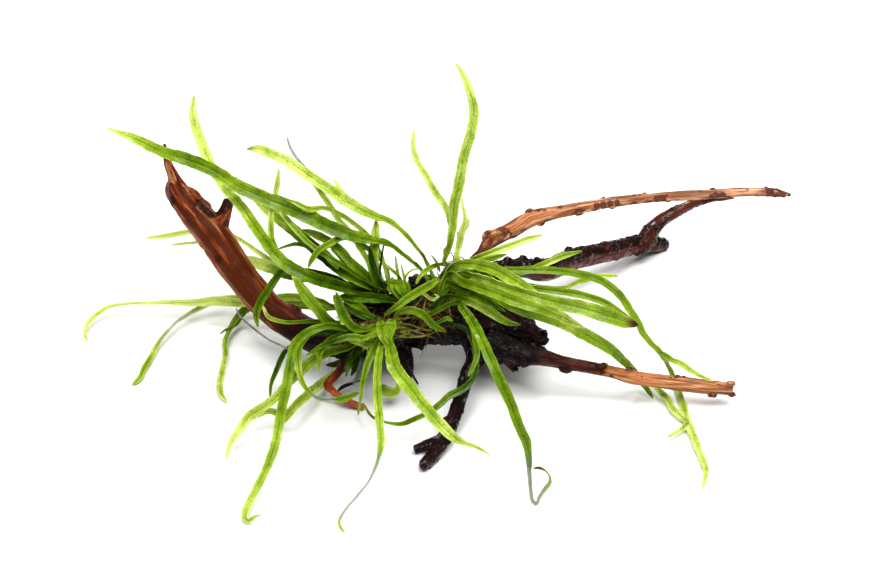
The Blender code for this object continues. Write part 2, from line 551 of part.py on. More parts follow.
def spread(chains):
    """Moves each sample along its line of sight until no frond touches another, the wood or the table."""
    start = 0
    for chain in chains:
        chain.start = start
        start += len(chain.rows)
    rows = np.vstack([chain.rows for chain in chains])
    names = {name: index for index, name in enumerate(dict.fromkeys(chain.frond for chain in chains))}
    owner = np.concatenate([np.full(len(chain.rows), names[chain.frond]) for chain in chains])
    along = np.concatenate([np.arange(len(chain.rows)) for chain in chains])
    free = np.concatenate([
        (np.arange(len(chain.rows)) >= FREE_LENGTH) | (chain.stem is not None) for chain in chains
    ])
    sight = sight_at(rows[:, :3])
    first, second, depth = crossing_pairs(rows, owner, sight, free)
    sides = agreed_sides(first, second, depth, owner, along)
    need = BLADE_THICKNESS + CLEARANCE
    sample, wood_depth, wood_need = wood_gaps(rows, sight, free)
    wood_side = np.where(wood_depth > 0, 1.0, -1.0)
    rise = -sight[:, 2]
    lowest = rows[:, 3] / 2 * LYING_SHARE + BLADE_THICKNESS / 2 + GAP
    offset = np.zeros(len(rows))
    for _ in range(SPREAD_SWEEPS):
        push = np.zeros(len(rows))
        count = np.ones(len(rows))
        short = np.maximum(need - (depth + offset[first] - offset[second]) * sides, 0.0) / 2
        np.add.at(push, first, short * sides)
        np.add.at(push, second, -short * sides)
        np.add.at(count, first, (short > 0).astype(float))
        np.add.at(count, second, (short > 0).astype(float))
        wood_short = np.maximum(wood_need - (wood_depth + offset[sample]) * wood_side, 0.0)
        np.add.at(push, sample, wood_short * wood_side)
        np.add.at(count, sample, (wood_short > 0).astype(float))
        offset = calmed(chains, offset + SPREAD_PACE * push / count)
        floor = rows[:, 2] - offset * rise
        offset -= np.where(floor < lowest, (lowest - floor) / rise, 0.0)
    moved = rows.copy()
    moved[:, :3] += sight * offset[:, None]
    for chain in chains:
        chain.rows = moved[chain.start:chain.start + len(chain.rows)]


# Solids

def put(name, bm, finish):
    """An object of the mesh, shaded smooth, with its own material."""
    mesh = bpy.data.meshes.new(name)
    bmesh.ops.recalc_face_normals(bm, faces=bm.faces)
    bm.to_mesh(mesh)
    bm.free()
    mesh.shade_smooth()
    piece = bpy.data.objects.new(name, mesh)
    bpy.context.collection.objects.link(piece)
    colour, roughness = FINISHES[finish]
    material = bpy.data.materials.new(f"{name}_{finish}")
    material.use_nodes = True
    shader = material.node_tree.nodes["Principled BSDF"]
    shader.inputs["Base Color"].default_value = (*colour, 1)
    shader.inputs["Roughness"].default_value = roughness
    shader.inputs["Metallic"].default_value = 0.0
    mesh.materials.append(material)
    return piece


def lofted(rings):
    """A closed mesh through rings of points, its ends closed by fans."""
    bm = bmesh.new()
    loops = [[bm.verts.new(point) for point in ring] for ring in rings]
    sides = len(loops[0])
    for near, far in zip(loops, loops[1:]):
        for j in range(sides):
            bm.faces.new((near[j], near[(j + 1) % sides], far[(j + 1) % sides], far[j]))
    for loop in (loops[0], loops[-1]):
        middle = bm.verts.new(sum((vert.co for vert in loop), Vector()) / sides)
        for j in range(sides):
            bm.faces.new((loop[j], loop[(j + 1) % sides], middle))
    return bm


def limb_rings(rows, sides, swell, lumps):
    """Round rings along a limb that turn as little as they can, swollen and dented by smooth noise."""
    points = [Vector(row[:3]) for row in rows]
    points[0] += (points[0] - points[1]).normalized() * swell
    points[-1] += (points[-1] - points[-2]).normalized() * swell
    across = None
    rings = []
    for index, point in enumerate(points):
        ahead = points[min(index + 1, len(points) - 1)] - points[max(index - 1, 0)]
        ahead.normalize()
        if across is None:
            across = ahead.orthogonal().normalized()
        across = (across - ahead * across.dot(ahead)).normalized()
        over = ahead.cross(across)
        ring = []
        for j in range(sides):
            angle = 2 * math.pi * j / sides
            way = across * math.cos(angle) + over * math.sin(angle)
            radius = rows[index][3] / 2
            dent = noise.noise((point + way * radius) / LUMP_SIZE)
            ring.append(point + way * (radius * (1 + lumps * dent) + swell))
        rings.append(ring)
    return rings


def limb(name, route, finish, swell=0.0, sides=WOOD_SIDES, step=WOOD_STEP, lumps=WOOD_LUMPS):
    """A limb of wood, or a rhizome, along its route."""
    rows = smooth(placed(route), step)
    rows[:, :3] += TO_ORIGIN
    return put(name, lofted(limb_rings(rows, sides, swell, lumps)), finish)


def as_cutter(piece):
    piece.hide_render = True
    piece.display_type = "WIRE"
    return piece


def boolean(piece, other, operation):
    modifier = piece.modifiers.new(f"{operation.lower()}_{other.name}", "BOOLEAN")
    modifier.operation = operation
    modifier.object = other


def wood_piece(name, swell=0.0):
    """A limb with its stubs, grown by swell."""
    finish = LIMB_FINISH.get(name, "dark_wood")
    piece = limb(name if not swell else f"room_for_{name}", LIMBS[name], finish, swell)
    for number, stub in enumerate(STUBS.get(name, [])):
        part = as_cutter(limb(f"{piece.name}_stub_{number}", stub, finish, swell, STUB_SIDES))
        boolean(piece, part, "UNION")
    return piece


def table_top():
    """The table, which the feet are cut flat on."""
    bm = bmesh.new()
    bmesh.ops.create_cube(bm, size=TABLE_SIZE)
    bmesh.ops.translate(bm, verts=bm.verts, vec=(0, 0, -TABLE_SIZE / 2))
    return as_cutter(put("table_top", bm, "dark_wood"))


def build_wood():
    """The wood, each limb clear of what it grows from, and its feet flat on the table."""
    table = table_top()
    rooms = {}
    for name in LIMBS:
        piece = wood_piece(name)
        for source in GROWS_FROM.get(name, []):
            boolean(piece, rooms[source], "DIFFERENCE")
        boolean(piece, table, "DIFFERENCE")
        rooms[name] = as_cutter(wood_piece(name, GAP))
    return rooms


def build_rhizomes(rooms):
    """The rhizomes, clear of the wood under them."""
    cutters = {}
    for name, route in RHIZOMES.items():
        piece = limb(name, route, "rhizome", sides=RHIZOME_SIDES, step=RHIZOME_STEP)
        for wood in ("wood_hub", "wood_upper_right_branch"):
            boolean(piece, rooms[wood], "DIFFERENCE")
        room = limb(f"room_for_{name}", route, "rhizome", GAP, RHIZOME_SIDES, RHIZOME_STEP)
        cutters[name] = as_cutter(room)
    return cutters


def blade_rings(rows, foot):
    """Flat four-cornered rings along a blade, turned edge-on where the photograph shows it narrow."""
    points = rows[:, :3]
    ahead = np.gradient(points, axis=0)
    ahead /= np.linalg.norm(ahead, axis=1, keepdims=True)
    sight = sight_at(points)
    shown = rows[:, 3]
    place = np.linspace(0.0, 1.0, len(rows))
    fullness = np.clip(np.minimum(place / BASE_RAMP, (1 - place) / TIP_RAMP), 0.0, 1.0)
    true = shown + EVEN_WIDTH * np.maximum(FULL_SHARE * np.max(shown) - shown, 0.0) * fullness
    turn = np.arccos(np.clip(shown / true, 0.0, 1.0))
    rings = []
    before = None
    for k, point in enumerate(points):
        wide = np.cross(ahead[k], sight[k])
        if before is not None and np.dot(wide, before) < 0:
            wide = -wide
        wide /= max(np.linalg.norm(wide), 1e-9)
        before = wide
        normal = np.cross(wide, ahead[k])
        if np.dot(normal, sight[k]) > 0:
            normal = -normal
        side = wide * math.cos(turn[k]) + normal * math.sin(turn[k])
        face = np.cross(side, ahead[k])
        half = max(true[k], TIP_WIDTH) / 2
        thick = min(BLADE_THICKNESS / 2, half)
        if k == 0:
            half = max(half, foot / 2)
            thick = max(thick, foot / 2)
        rings.append([
            Vector(point - side * half),
            Vector(point - face * thick),
            Vector(point + side * half),
            Vector(point + face * thick),
        ])
    return rings


def blade(name, rows, foot=0.0):
    """One blade or lobe along its samples. The foot is the least size of its first ring."""
    rows = stations(rows, BLADE_STEP, BLADE_TURN)
    rings = blade_rings(rows, foot)
    moved = [[point + Vector(TO_ORIGIN) for point in ring] for ring in rings]
    return put(name, lofted(moved), "frond")


def build_fronds(cutters):
    """Every frond: its blade, its lobes grown into it, and its foot cut clear of its rhizome."""
    chains = frond_chains()
    spread(chains)
    rhizome_of = {name: rhizome for rhizome, fronds in FRONDS.items() for name in fronds}
    pieces = {}
    for chain in chains:
        if chain.stem is None:
            pieces[chain.frond] = blade(chain.frond, chain.rows)
        else:
            lobe = as_cutter(blade(f"{chain.frond}_lobe_{chain.start}", chain.rows, LOBE_FOOT))
            boolean(pieces[chain.frond], lobe, "UNION")
    for name, piece in pieces.items():
        boolean(piece, cutters[rhizome_of[name]], "DIFFERENCE")


def main():
    for thing in list(bpy.data.objects):
        bpy.data.objects.remove(thing)
    rooms = build_wood()
    cutters = build_rhizomes(rooms)
    build_fronds(cutters)


main()
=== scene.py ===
"""Java fern on driftwood: a clump of narrow, forked fern fronds on a small piece of branching root wood.

Every route is traced from one photograph and written as (column, row, height, size):
column and row are the place in the photograph, height is the height above the table in millimetres,
and size is the width of a frond or the diameter of the wood there, in millimetres.
A point's place in space is where the line of sight through (column, row) meets its height.
"""

import json
import math
import random

import bmesh
import bpy
import numpy as np
from bpy.props import FloatProperty, FloatVectorProperty, IntProperty, PointerProperty
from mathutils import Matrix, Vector, noise
from mathutils.bvhtree import BVHTree

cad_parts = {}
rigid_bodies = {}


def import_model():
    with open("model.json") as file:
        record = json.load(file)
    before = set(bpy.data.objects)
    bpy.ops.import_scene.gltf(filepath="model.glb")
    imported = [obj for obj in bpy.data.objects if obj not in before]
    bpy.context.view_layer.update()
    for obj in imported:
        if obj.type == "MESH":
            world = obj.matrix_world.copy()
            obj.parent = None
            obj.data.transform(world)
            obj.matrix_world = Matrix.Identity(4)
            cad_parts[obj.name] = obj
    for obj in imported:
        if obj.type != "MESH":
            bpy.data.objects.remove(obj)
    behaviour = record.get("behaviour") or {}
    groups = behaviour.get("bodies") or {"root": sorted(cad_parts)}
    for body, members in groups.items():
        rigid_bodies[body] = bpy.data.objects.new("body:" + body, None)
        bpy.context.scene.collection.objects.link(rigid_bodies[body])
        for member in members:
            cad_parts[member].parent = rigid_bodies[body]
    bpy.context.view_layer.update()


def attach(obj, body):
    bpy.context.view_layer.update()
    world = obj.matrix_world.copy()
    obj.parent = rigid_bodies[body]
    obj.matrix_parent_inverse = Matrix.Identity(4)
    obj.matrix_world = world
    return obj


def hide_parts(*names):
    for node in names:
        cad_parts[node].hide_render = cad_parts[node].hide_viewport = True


bl_info = {
    "name": "Java Fern on Driftwood",
    "version": (1, 0, 0),
    "blender": (4, 5, 0),
    "location": "3D View > Sidebar > Java Fern",
    "description": "Grows a clump of narrow java fern on a small piece of branching root wood",
    "category": "Add Mesh",
}

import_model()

MM = 0.001

# The line of sight
PHOTO_CENTRE = (440.0, 294.0)
PHOTO_WIDTH = 880
PIXEL = 0.4 * MM
VIEW_DISTANCE = 750 * MM
VIEW_ELEVATION = math.radians(32)
AIM_POINT = np.array((0.0, 0.0, 30 * MM))
TO_ORIGIN = np.array((1.1, 7.5, 0.0)) * MM
SENSOR_WIDTH = 36.0

# Fits
GAP = 0.3 * MM

# Lengths too short to tell from none
TINY = 1e-9
STANDSTILL = 1e-6

# Wood: how closely its limbs are sampled, how many sides they have, and how lumpy, domed and flared they are
WOOD_LUMPS = 0.10
LUMP_SIZE = 9 * MM
LIMB_STEP = 1.5 * MM
LIMB_SIDES = 20
STUB_SIDES = 16
DOMED = 0.6
DOME_RADII = np.array((0.95, 0.8, 0.5, 0.15))
FLARE = 0.35
FLARE_REACH = 5 * MM
SMOOTH_SHARE = 0.5
BATCH = 4000

# The cells of the wood's facets, ridges and bark, across and along the grain, and of its crumbs and pits
FACET_CELL = np.array((4.4, 4.4, 24)) * MM
RIDGE_CELL = np.array((1.5, 1.5, 11)) * MM
BARK_CELL = np.array((3.4, 3.4, 8)) * MM
CRUMB_CELL = 1.7 * MM
FINE_CELL = 0.8 * MM
FULL_RELIEF_RADIUS = 2.2 * MM
LEAST_RELIEF = 0.35
DARK_REACH = 0.62
FACET_SHIFT = (0, 3, 0)
BARK_SHIFT = (7, 0, 0)

# Where bark is kept, how it and the ridges rise, and how shallow the hollows are, for the painted shade in
# them: a base and the shares of two noises. Then the range over which bark begins, and the slope that counts
# as a limb's upper side
BARK_KEPT = (0.3, 0.9, 0.3)
BARK_RISE = (0.6, 1.0, 0.5)
RIDGE_RISE = (0.5, -1.6, 0.2)
SHALLOWNESS = (0.75, -1.2, 0.3)
BARK_EDGE = (0.72, 0.94)
BARK_GAIN = 1.1
UPPER_SIDE = (0.2, 0.6)

# Thin stems: rootlets, old stalks and spurs
STEM_STEP = 1.2 * MM
STEM_SIDES = 10
STEM_LUMPS = 0.12

# Rhizomes
RHIZOME_STEP = 0.8 * MM
RHIZOME_LUMPS = 0.16
RHIZOME_END = 0.9
RHIZOME_CELL = 0.24 * MM
SCALE_CELL = 0.9 * MM
UNDER_SKIN = 0.9
SCAR_SIZES = (1.0 * MM, 2.1 * MM)

# Fronds
BLADE_THICKNESS = 0.8 * MM
STALK_WIDTH = 1.5 * MM
TIP_WIDTH = 0.5 * MM
SAMPLE_STEP = 2.5 * MM
AXIS_STEP = 0.5 * MM
FEWEST_SAMPLES = 3

# A blade keeps nearly its full width where it looks narrow: it is turned edge-on there instead
FULL_SHARE = 0.8
EVEN_WIDTH = 0.5
BASE_RAMP = 0.25
TIP_RAMP = 0.2

# Spreading the fronds apart along the line of sight
CLEARANCE = 0.75 * MM
SPREAD_SWEEPS = 400
TOUCH_SHARE = 0.9
FREE_LENGTH = 1
CROSSING_BREAK = 2
ROOT_PLAY = 1.6 * MM
SPREAD_PACE = 1.6
OWN_SHARE = 0.5
LYING_SHARE = 0.85

# The limbs of the wood, from base to tip
LIMBS = {
    "wood_hub": [
        (338, 342, 19, 13), (360, 334, 20, 17), (385, 324, 21, 20), (412, 316, 22, 22), (440, 313, 23, 24),
        (468, 316, 23, 23), (492, 323, 22, 21), (510, 332, 19, 17), (524, 338, 17, 13), (536, 343, 15, 8),
    ],
    "wood_left_branch": [
        (352, 338, 20, 12), (330, 341, 19, 12), (305, 333, 20, 12), (286, 321, 22, 12.2),
        (269, 308, 26, 12.4), (253, 291, 31, 12.8), (238, 271, 37, 13.2), (225, 252, 43, 13),
        (211, 232, 49, 12.8), (193, 212, 55, 12), (180, 195, 61, 9.6), (174, 178, 66, 5),
        (168, 163, 70, 3.2), (164.5, 144, 76, 1.6),
    ],
    "wood_upper_right_branch": [
        (455, 290, 30, 6), (466, 270, 36, 3.6), (475, 256, 39.6, 2.4), (480, 251.5, 40.6, 2.6),
        (486, 245, 41.6, 4.6), (493, 239.5, 42.4, 6.2), (510, 231, 44, 6.2), (533, 218.5, 45, 6),
        (560, 212, 46, 5.2), (600, 204, 48, 4.2), (650, 198, 50, 3.7), (700, 194.5, 51, 3.7),
        (745, 192, 51, 3.5), (775, 192.5, 50, 3.1), (790, 195, 49, 1.4),
    ],
    "wood_middle_right_branch": [
        (474, 296, 27, 9), (500, 270, 27, 7), (522, 268, 25, 7), (545, 270, 22, 8.6), (568, 261, 18, 8.4),
        (590, 256, 15, 8), (620, 249, 10.5, 7.6), (644, 244, 6.5, 7.2), (657, 244.5, 3.4, 6),
        (664, 245, 2, 4.8),
    ],
    "wood_middle_right_twig": [
        (636, 248, 7.5, 5.6), (644, 242.5, 8.8, 6.6), (650, 233, 11, 6.4), (658, 223.5, 13.2, 5.4),
        (668, 216, 15.4, 4.8), (680, 209.5, 17.4, 4.2), (693, 203.5, 18.6, 3.8), (708, 199.5, 19, 2.8),
        (733, 197.7, 19, 1.2),
    ],
    "wood_lower_right_branch": [
        (490, 343, 20, 9.6), (520, 353.5, 19, 8.2), (545, 358, 18, 6.6), (570, 364, 16, 5.2),
        (600, 369.5, 14.5, 4.8), (635, 377.5, 12.5, 5.4), (675, 383, 10.5, 5.6), (710, 387.5, 9, 5.6),
        (731, 389, 8, 5),
    ],
    "wood_front_leg": [
        (474, 338, 19, 8), (476, 356, 15, 7), (468, 375, 12, 5.6), (462, 393, 10, 5.2),
        (455, 414, 7.5, 5.2), (446, 434, 5, 5.2), (437, 450, 3, 5), (425, 465, 1.5, 4.8),
    ],
    "wood_red_twig": [
        (360, 334, 19, 5), (355, 345, 17, 3.2), (349, 354, 15, 3), (344, 363, 13, 3), (338, 373, 10.5, 3),
        (328, 385, 7.5, 3.2), (334, 392, 6, 3), (344, 400, 4, 2.8), (354, 404, 2.6, 2.8),
        (363, 407, 1.6, 2.4),
    ],
}

# Stubs that grow from a limb and are one piece with it
STUBS = {
    "wood_hub": [
        [(400, 322, 20, 10), (399, 345, 13, 9), (404, 361, 6.5, 7.4), (407, 374, 1.6, 5)],
        [(404, 312, 22, 14), (384, 311, 16, 11), (366, 311, 9, 9), (350, 312, 2, 8)],
        [(500, 322, 22, 13), (518, 322, 22, 8), (533, 322, 20, 3)],
        [(440, 306, 26, 15), (430, 290, 30, 12), (415, 283, 32, 8)],
    ],
    "wood_left_branch": [
        [
            (208, 246, 45, 6), (214, 234, 48.5, 9.6), (220, 223, 52, 7.8), (225, 212, 55.5, 5.2),
            (228.4, 200.6, 58.6, 4.2),
        ],
    ],
    "wood_front_leg": [
        [(441, 440, 4.4, 4.6), (428, 445, 3.4, 4), (415, 449, 2.4, 3)],
    ],
}

# The creeping rhizomes that carry the fronds
RHIZOMES = {
    "rhizome_front": [
        (340, 336, 29, 4), (356, 330, 31, 4.6), (374, 326, 33, 4.8), (392, 326, 34, 4.8),
        (404, 328, 34, 3.6),
    ],
    "rhizome_rear": [(348, 300, 27, 4), (364, 294, 31, 4.6), (382, 289, 34, 4.8), (400, 285, 37, 3.8)],
    "rhizome_right": [
        (424, 322, 35, 4), (430, 310, 37, 4.8), (438, 296, 39, 5), (444, 281, 41, 5), (452, 269, 43, 4.8),
        (466, 263, 44, 3.6),
    ],
}

# Fronds, in the order in which they leave each rhizome. The first route is the blade, the others its lobes.
FRONDS = {
    "rhizome_rear": {
        "frond_left_01": [[
            (345, 305, 25, 1.6), (315, 300, 20, 2.4), (290, 297, 16, 3), (242, 303, 12.5, 3.2),
            (212, 301, 11, 3.6), (195, 303, 10, 2.8), (172, 303, 9, 2), (150, 304, 8.5, 1.2),
            (136, 304, 8, 1), (122, 305, 7, 1.2), (108, 308, 5.5, 1.4), (94, 317, 4.2, 2),
            (87, 326, 3, 1.6), (85, 334, 2.2, 1.2), (88, 341, 1.5, 0.6),
        ]],
        "frond_left_02": [[
            (345, 306, 21, 1.6), (300, 303, 14, 2.4), (265, 298, 10, 2.6), (234, 298, 8.5, 2.4),
            (221, 299, 7.5, 2.4), (209, 303, 7, 2.4), (198, 309, 6, 2), (186, 316, 5, 1.6),
            (175, 324, 4, 1), (164, 336, 3.5, 1.4), (158, 344, 3, 1.8), (151, 357, 2.5, 2.2),
            (144, 369, 2, 2.4), (139, 379, 1.6, 2), (132, 385, 1.2, 0.8),
        ]],
        "frond_left_03": [[
            (340, 308, 18, 1.6), (295, 306, 11, 2.4), (264, 304, 8, 3), (246, 309, 6.5, 3.2),
            (237, 319, 5.5, 3.2), (230, 330, 4.5, 2), (226, 341, 3.6, 1.8), (226, 355, 2.8, 2),
            (223, 369, 2, 2.2), (220, 383, 1.6, 2.4), (221, 393, 1.4, 2.4), (227, 402, 1, 0.8),
        ]],
        "frond_left_04": [[
            (348, 292, 32, 1.6), (320, 282, 35, 3), (290, 275, 34, 4), (272, 268, 32, 4.8),
            (257, 263, 31, 4.8), (243, 258, 29, 2),
        ]],
        "frond_left_05": [[
            (345, 288, 36, 1.6), (318, 280, 39, 1.8), (290, 270, 40, 2), (275, 263, 39, 2),
            (258, 252, 38, 2), (245, 243, 37, 1.6), (232, 236, 35, 1.6), (189, 232, 32, 2),
            (165, 236, 29, 2), (145, 238, 27, 0.6),
        ]],
        "frond_left_06": [[
            (350, 285, 44, 1.6), (325, 275, 51, 2.4), (300, 271, 54, 2.6), (284, 271, 54, 2.6),
            (274, 281, 52, 2.8), (267, 292, 49, 3), (259, 305, 46, 2.8), (256, 316, 43, 2.4),
            (258, 327, 40, 1.2),
        ]],
        "frond_left_07": [[
            (345, 289, 45, 1.4), (318, 280, 52, 2), (300, 272, 57, 2.4), (288, 264, 61, 2.4),
            (278, 253, 64, 2.4), (272, 240, 67, 2.4), (271, 225, 70, 2.4), (271, 212, 73, 2),
            (272, 203, 75, 0.6),
        ]],
        "frond_left_08": [[
            (366, 293, 40, 2), (350, 289, 45, 4), (333, 284, 50, 4.6), (310, 277, 55, 4.8),
            (291, 268, 58, 5), (275, 254, 61, 4.8), (263, 238, 64, 4.4), (254, 225, 67, 4.4),
            (240, 205, 69, 4), (222, 184.5, 71, 3.6), (210, 163, 74, 4), (200, 139, 82, 4),
            (193, 115, 91, 3.2), (194, 95, 98, 0.8),
        ]],
        "frond_left_09": [[
            (363, 286, 46, 1.6), (346, 275, 52, 3.6), (332, 263, 53, 4.6), (317, 250, 56, 4.8),
            (303, 238, 59, 4.8), (290, 227, 61, 4.8), (275, 215, 64, 4.6), (262, 205, 66, 3.6),
            (250, 194, 69, 0.8),
        ]],
        "frond_left_10": [[
            (374, 284, 42, 1.4), (364, 278, 47, 2.4), (348, 264, 53, 2.8), (331, 249, 59, 0.8),
        ]],
        "frond_left_11": [[
            (368, 282, 44, 1.4), (340, 264, 53, 2), (310, 244, 61, 2.2), (291, 224, 67, 2.2),
            (278, 204, 71, 2), (276, 196, 74, 2), (278, 180, 81, 2), (279, 168, 86, 0.6),
        ]],
        "frond_left_12": [[
            (385, 266, 48, 1.4), (364, 246, 57, 2), (350, 238, 61, 2.4), (340, 238, 63, 2.6),
            (329, 244, 62, 2.6), (319, 250, 60, 2.4), (313, 258, 57, 2.2), (308, 268, 54, 0.8),
        ]],
        "frond_left_13": [[
            (380, 286, 40, 1.2), (374, 272, 46, 1.6), (362, 250, 56, 2), (350, 233, 62, 2.4),
            (339, 220, 66, 2.4), (331, 207, 70, 2.4), (322, 194, 75, 2.4), (314, 182, 80, 2),
            (305, 169, 85, 1.6), (297, 159, 89, 1.2), (290, 147, 92, 1), (287, 137, 95, 0.6),
        ]],
        "frond_left_14": [[
            (384, 284, 41, 1.6), (377, 273, 47, 3), (374, 257, 55, 3.6), (375, 240, 62, 3.8),
            (376, 226, 67.5, 2.6), (376, 219, 70, 0.8),
        ]],
        "frond_left_15": [[
            (388, 280, 43, 1.2), (381, 255, 54, 1.6), (370, 238, 62, 2), (352, 222, 68, 2),
            (338, 213, 71, 1.8), (325, 208, 73, 2), (308, 209, 74, 2.4), (298, 204, 76, 2),
            (285, 199, 78, 0.6),
        ]],
    },
    "rhizome_front": {
        "frond_front_04": [[
            (340, 334, 31, 2), (320, 331, 35, 2.4), (306, 337, 37, 2.6), (299, 348, 36, 2.6),
            (298, 364, 32, 2.8), (302, 381, 27, 2), (309, 391, 23.5, 1.4), (320, 398, 20, 1.4),
            (332, 400, 18, 2.4), (345, 398, 16, 2.8), (359, 392.5, 14, 0.9),
        ]],
        "frond_front_01": [[
            (342, 325, 34, 1.4), (330, 322, 37, 1.4), (315, 321, 41, 1.4), (285, 322, 39, 1.4),
            (270, 318, 38, 1.6), (262, 305, 38, 0.6),
        ]],
        "frond_front_02": [[
            (341, 329, 38, 2.4), (326, 319, 44, 4), (314, 305, 49, 4.4), (302, 289, 56, 4.4),
            (292, 276, 62, 0.8),
        ]],
        "frond_front_03": [[
            (345, 328, 41, 2), (322, 327, 47, 3), (305, 334, 45, 3.4), (294, 346, 43, 3.4),
            (290, 365, 38, 3.6), (286, 388, 32, 4), (281, 412, 25, 4), (275, 445, 17, 3.8),
            (262, 478, 9.5, 3.4), (250, 501, 4.5, 3.2), (245, 514, 2.6, 2.8), (247, 521, 2.2, 2),
            (254, 517, 3, 1.6), (261, 515, 4, 0.6),
        ]],
        "frond_front_05": [[
            (350, 333, 37, 2), (330, 340, 38, 2.4), (321, 350, 35, 2.4), (319, 372, 29, 0.8),
        ]],
        "frond_front_06": [[
            (354, 344, 28, 2.2), (331, 351, 29, 3.6), (316, 358, 31, 4), (303, 369, 28, 4),
            (290, 381, 25, 3.6), (274, 399, 20, 3.4), (260, 409, 16, 3.8), (248, 418, 12, 4.2),
            (238, 432, 8, 3.2), (230, 445, 5, 2), (226, 459, 2.6, 0.6),
        ]],
        "frond_front_08": [[
            (364, 340, 30, 1.6), (366, 349, 23, 1.8), (362, 358, 15.5, 2.2), (353, 365, 9.5, 2.6),
            (340, 371, 6, 3), (328, 378, 4, 3.2), (317, 387, 5.5, 3.6), (305, 397, 8, 3.6),
            (293, 408, 9, 3.2), (283, 420, 8, 2.8), (274, 430, 6, 0.8),
        ], [
            (291, 410, 10, 2.4), (280, 413, 8.8, 2.6), (268, 411, 8, 2.6), (257, 415, 7.4, 2.4),
            (249, 419, 7, 0.8),
        ]],
        "frond_front_09": [[
            (364, 330, 38, 2), (353, 327, 42, 3.2), (344, 316, 47, 3.6), (340, 305, 52, 3.2),
            (336, 292, 57, 0.8),
        ]],
        "frond_front_07": [[
            (372, 334, 36, 1.6), (362, 338, 39, 2.4), (350, 337, 40, 2.8), (335, 341, 39, 2.2),
            (318, 348, 37, 1.6), (306, 356, 34, 0.6),
        ]],
        "frond_front_10": [[
            (381, 336, 35, 1.4), (374, 350, 34, 3), (367, 366, 30, 2.8), (363, 383, 25, 2),
            (361, 398, 19, 1), (358, 415, 12, 0.6),
        ]],
        "frond_front_11": [[
            (384, 338, 37, 1.6), (379, 356, 39, 2.8), (377, 379, 37, 3.2), (378, 402, 33, 3.2),
            (380, 425, 28, 3.2), (381, 445, 23, 2.8), (378, 461, 18, 1.3), (370, 480, 12.5, 0.6),
            (357, 497, 7.5, 0.6), (345, 511, 4.5, 0.9), (339, 523, 2.6, 1.3), (345, 533, 1.4, 0.5),
        ]],
        "frond_front_12": [[
            (390, 335, 38, 2.4), (391, 352, 43, 4.6), (396, 370, 44, 5.4), (410, 388, 42, 5.2),
            (425, 407, 38, 4.8), (440, 424, 33, 4.6), (453, 436, 29, 3.8), (466, 443, 25, 2),
            (478, 447, 22, 1.4), (490, 455, 18, 0.6),
        ]],
        "frond_front_13": [[
            (396, 316, 39, 1.6), (407, 310, 43, 3), (418, 312, 45, 3.2), (427, 318, 46, 3),
            (432, 324, 45, 2.8), (446, 332, 42, 1.2),
        ]],
    },
    "rhizome_right": {
        "frond_right_01": [[
            (470, 334, 34, 1.6), (475, 352, 29, 1.8), (476, 370, 25, 2), (471, 381, 22, 2.4),
            (464, 388, 20.5, 2.8), (449, 396, 18, 2.8), (438, 406, 15.5, 2.6), (426, 414, 13, 2.2),
            (415, 419, 11, 2), (402, 424, 9, 1.8), (388, 423, 8, 1), (374, 418, 7, 1), (363, 403, 6, 0.6),
        ]],
        "frond_right_02": [[
            (455, 302, 42, 2), (463, 309, 47, 3), (471, 320, 50, 3.6), (478, 332, 51, 4),
            (483, 343, 50, 4.2), (488, 354, 48, 4.4), (494, 368, 45, 4.4), (503, 387, 40, 4.2),
            (512, 406, 34, 4), (519, 426, 27, 4), (526.5, 443, 19.5, 3.6), (529.5, 457, 14.5, 2.5),
            (530, 471, 9.5, 1.8), (531, 484, 5.5, 1.5), (532, 494, 3.2, 1.2), (534.6, 503.6, 1.4, 0.9),
            (541, 493.6, 2.6, 1.2), (546, 487.6, 3.4, 1.5), (549.6, 482.4, 4.2, 1.5),
            (549.6, 477, 5.2, 0.8), (546.6, 472, 6.2, 0.6), (541, 468.4, 7.2, 1.1), (537, 467.8, 7.8, 1.2),
            (533.4, 468.2, 8, 0.5),
        ], [
            (473, 326, 49, 1.6), (476, 343, 42, 2.4), (477, 355, 37, 2), (473, 367, 32, 1.6),
            (468, 376, 28, 0.6),
        ]],
        "frond_right_03": [[
            (442, 298, 42, 2), (464, 300, 45, 3), (480, 306, 46, 3.4), (492, 313, 45, 3.6),
            (503, 320, 43, 3), (520, 325, 40, 0.8),
        ]],
        "frond_right_04": [[
            (448, 288, 43, 2), (469, 287, 48, 3.2), (492, 294, 51, 4.2), (515, 307, 50, 4.4),
            (538, 315, 48, 4.4), (563, 323, 44, 4.8), (577, 330, 41, 5), (592, 338, 37, 5),
            (609, 348, 31, 4.4), (623, 360, 22, 3.4), (634, 371, 12, 2.6), (641, 381, 5.5, 2.2),
            (648, 390, 3.5, 2), (653, 398, 2.4, 0.8),
        ]],
        "frond_right_15": [[
            (438, 281, 46, 1.6), (430, 285, 49, 3), (416, 293, 50, 3.2), (399, 305, 48, 2.8),
            (384, 316, 45, 0.8),
        ]],
        "frond_right_05": [[
            (446, 277, 46, 2), (465, 283, 53, 3.4), (490, 291, 57, 4.4), (515, 301, 57, 4.2),
            (540, 309, 55, 3.4), (563, 317, 52, 0.8),
        ]],
        "frond_left_16": [[
            (421, 270, 45, 1.4), (409, 260, 52, 1.4), (385, 243, 60, 2.3), (369, 240, 63, 3.6),
            (347, 234, 66, 5), (327, 226, 69, 5.6), (300, 212, 73, 6.2), (264, 198, 78, 5.6),
            (236, 185, 81, 5.2), (212, 170, 84, 5.2), (189, 160, 86, 5.2), (165, 153, 87, 4.4),
            (135, 139, 89, 3.6), (107, 128, 90, 0.8),
        ]],
        "frond_left_17": [[
            (428, 266, 46, 1.3), (418, 250, 55, 1.3), (408, 238, 60, 1.4), (398, 228, 65, 1.9),
            (388, 221, 68, 2.4), (377, 217, 71, 3), (360, 209, 75, 4.2), (345, 200, 78, 4.6),
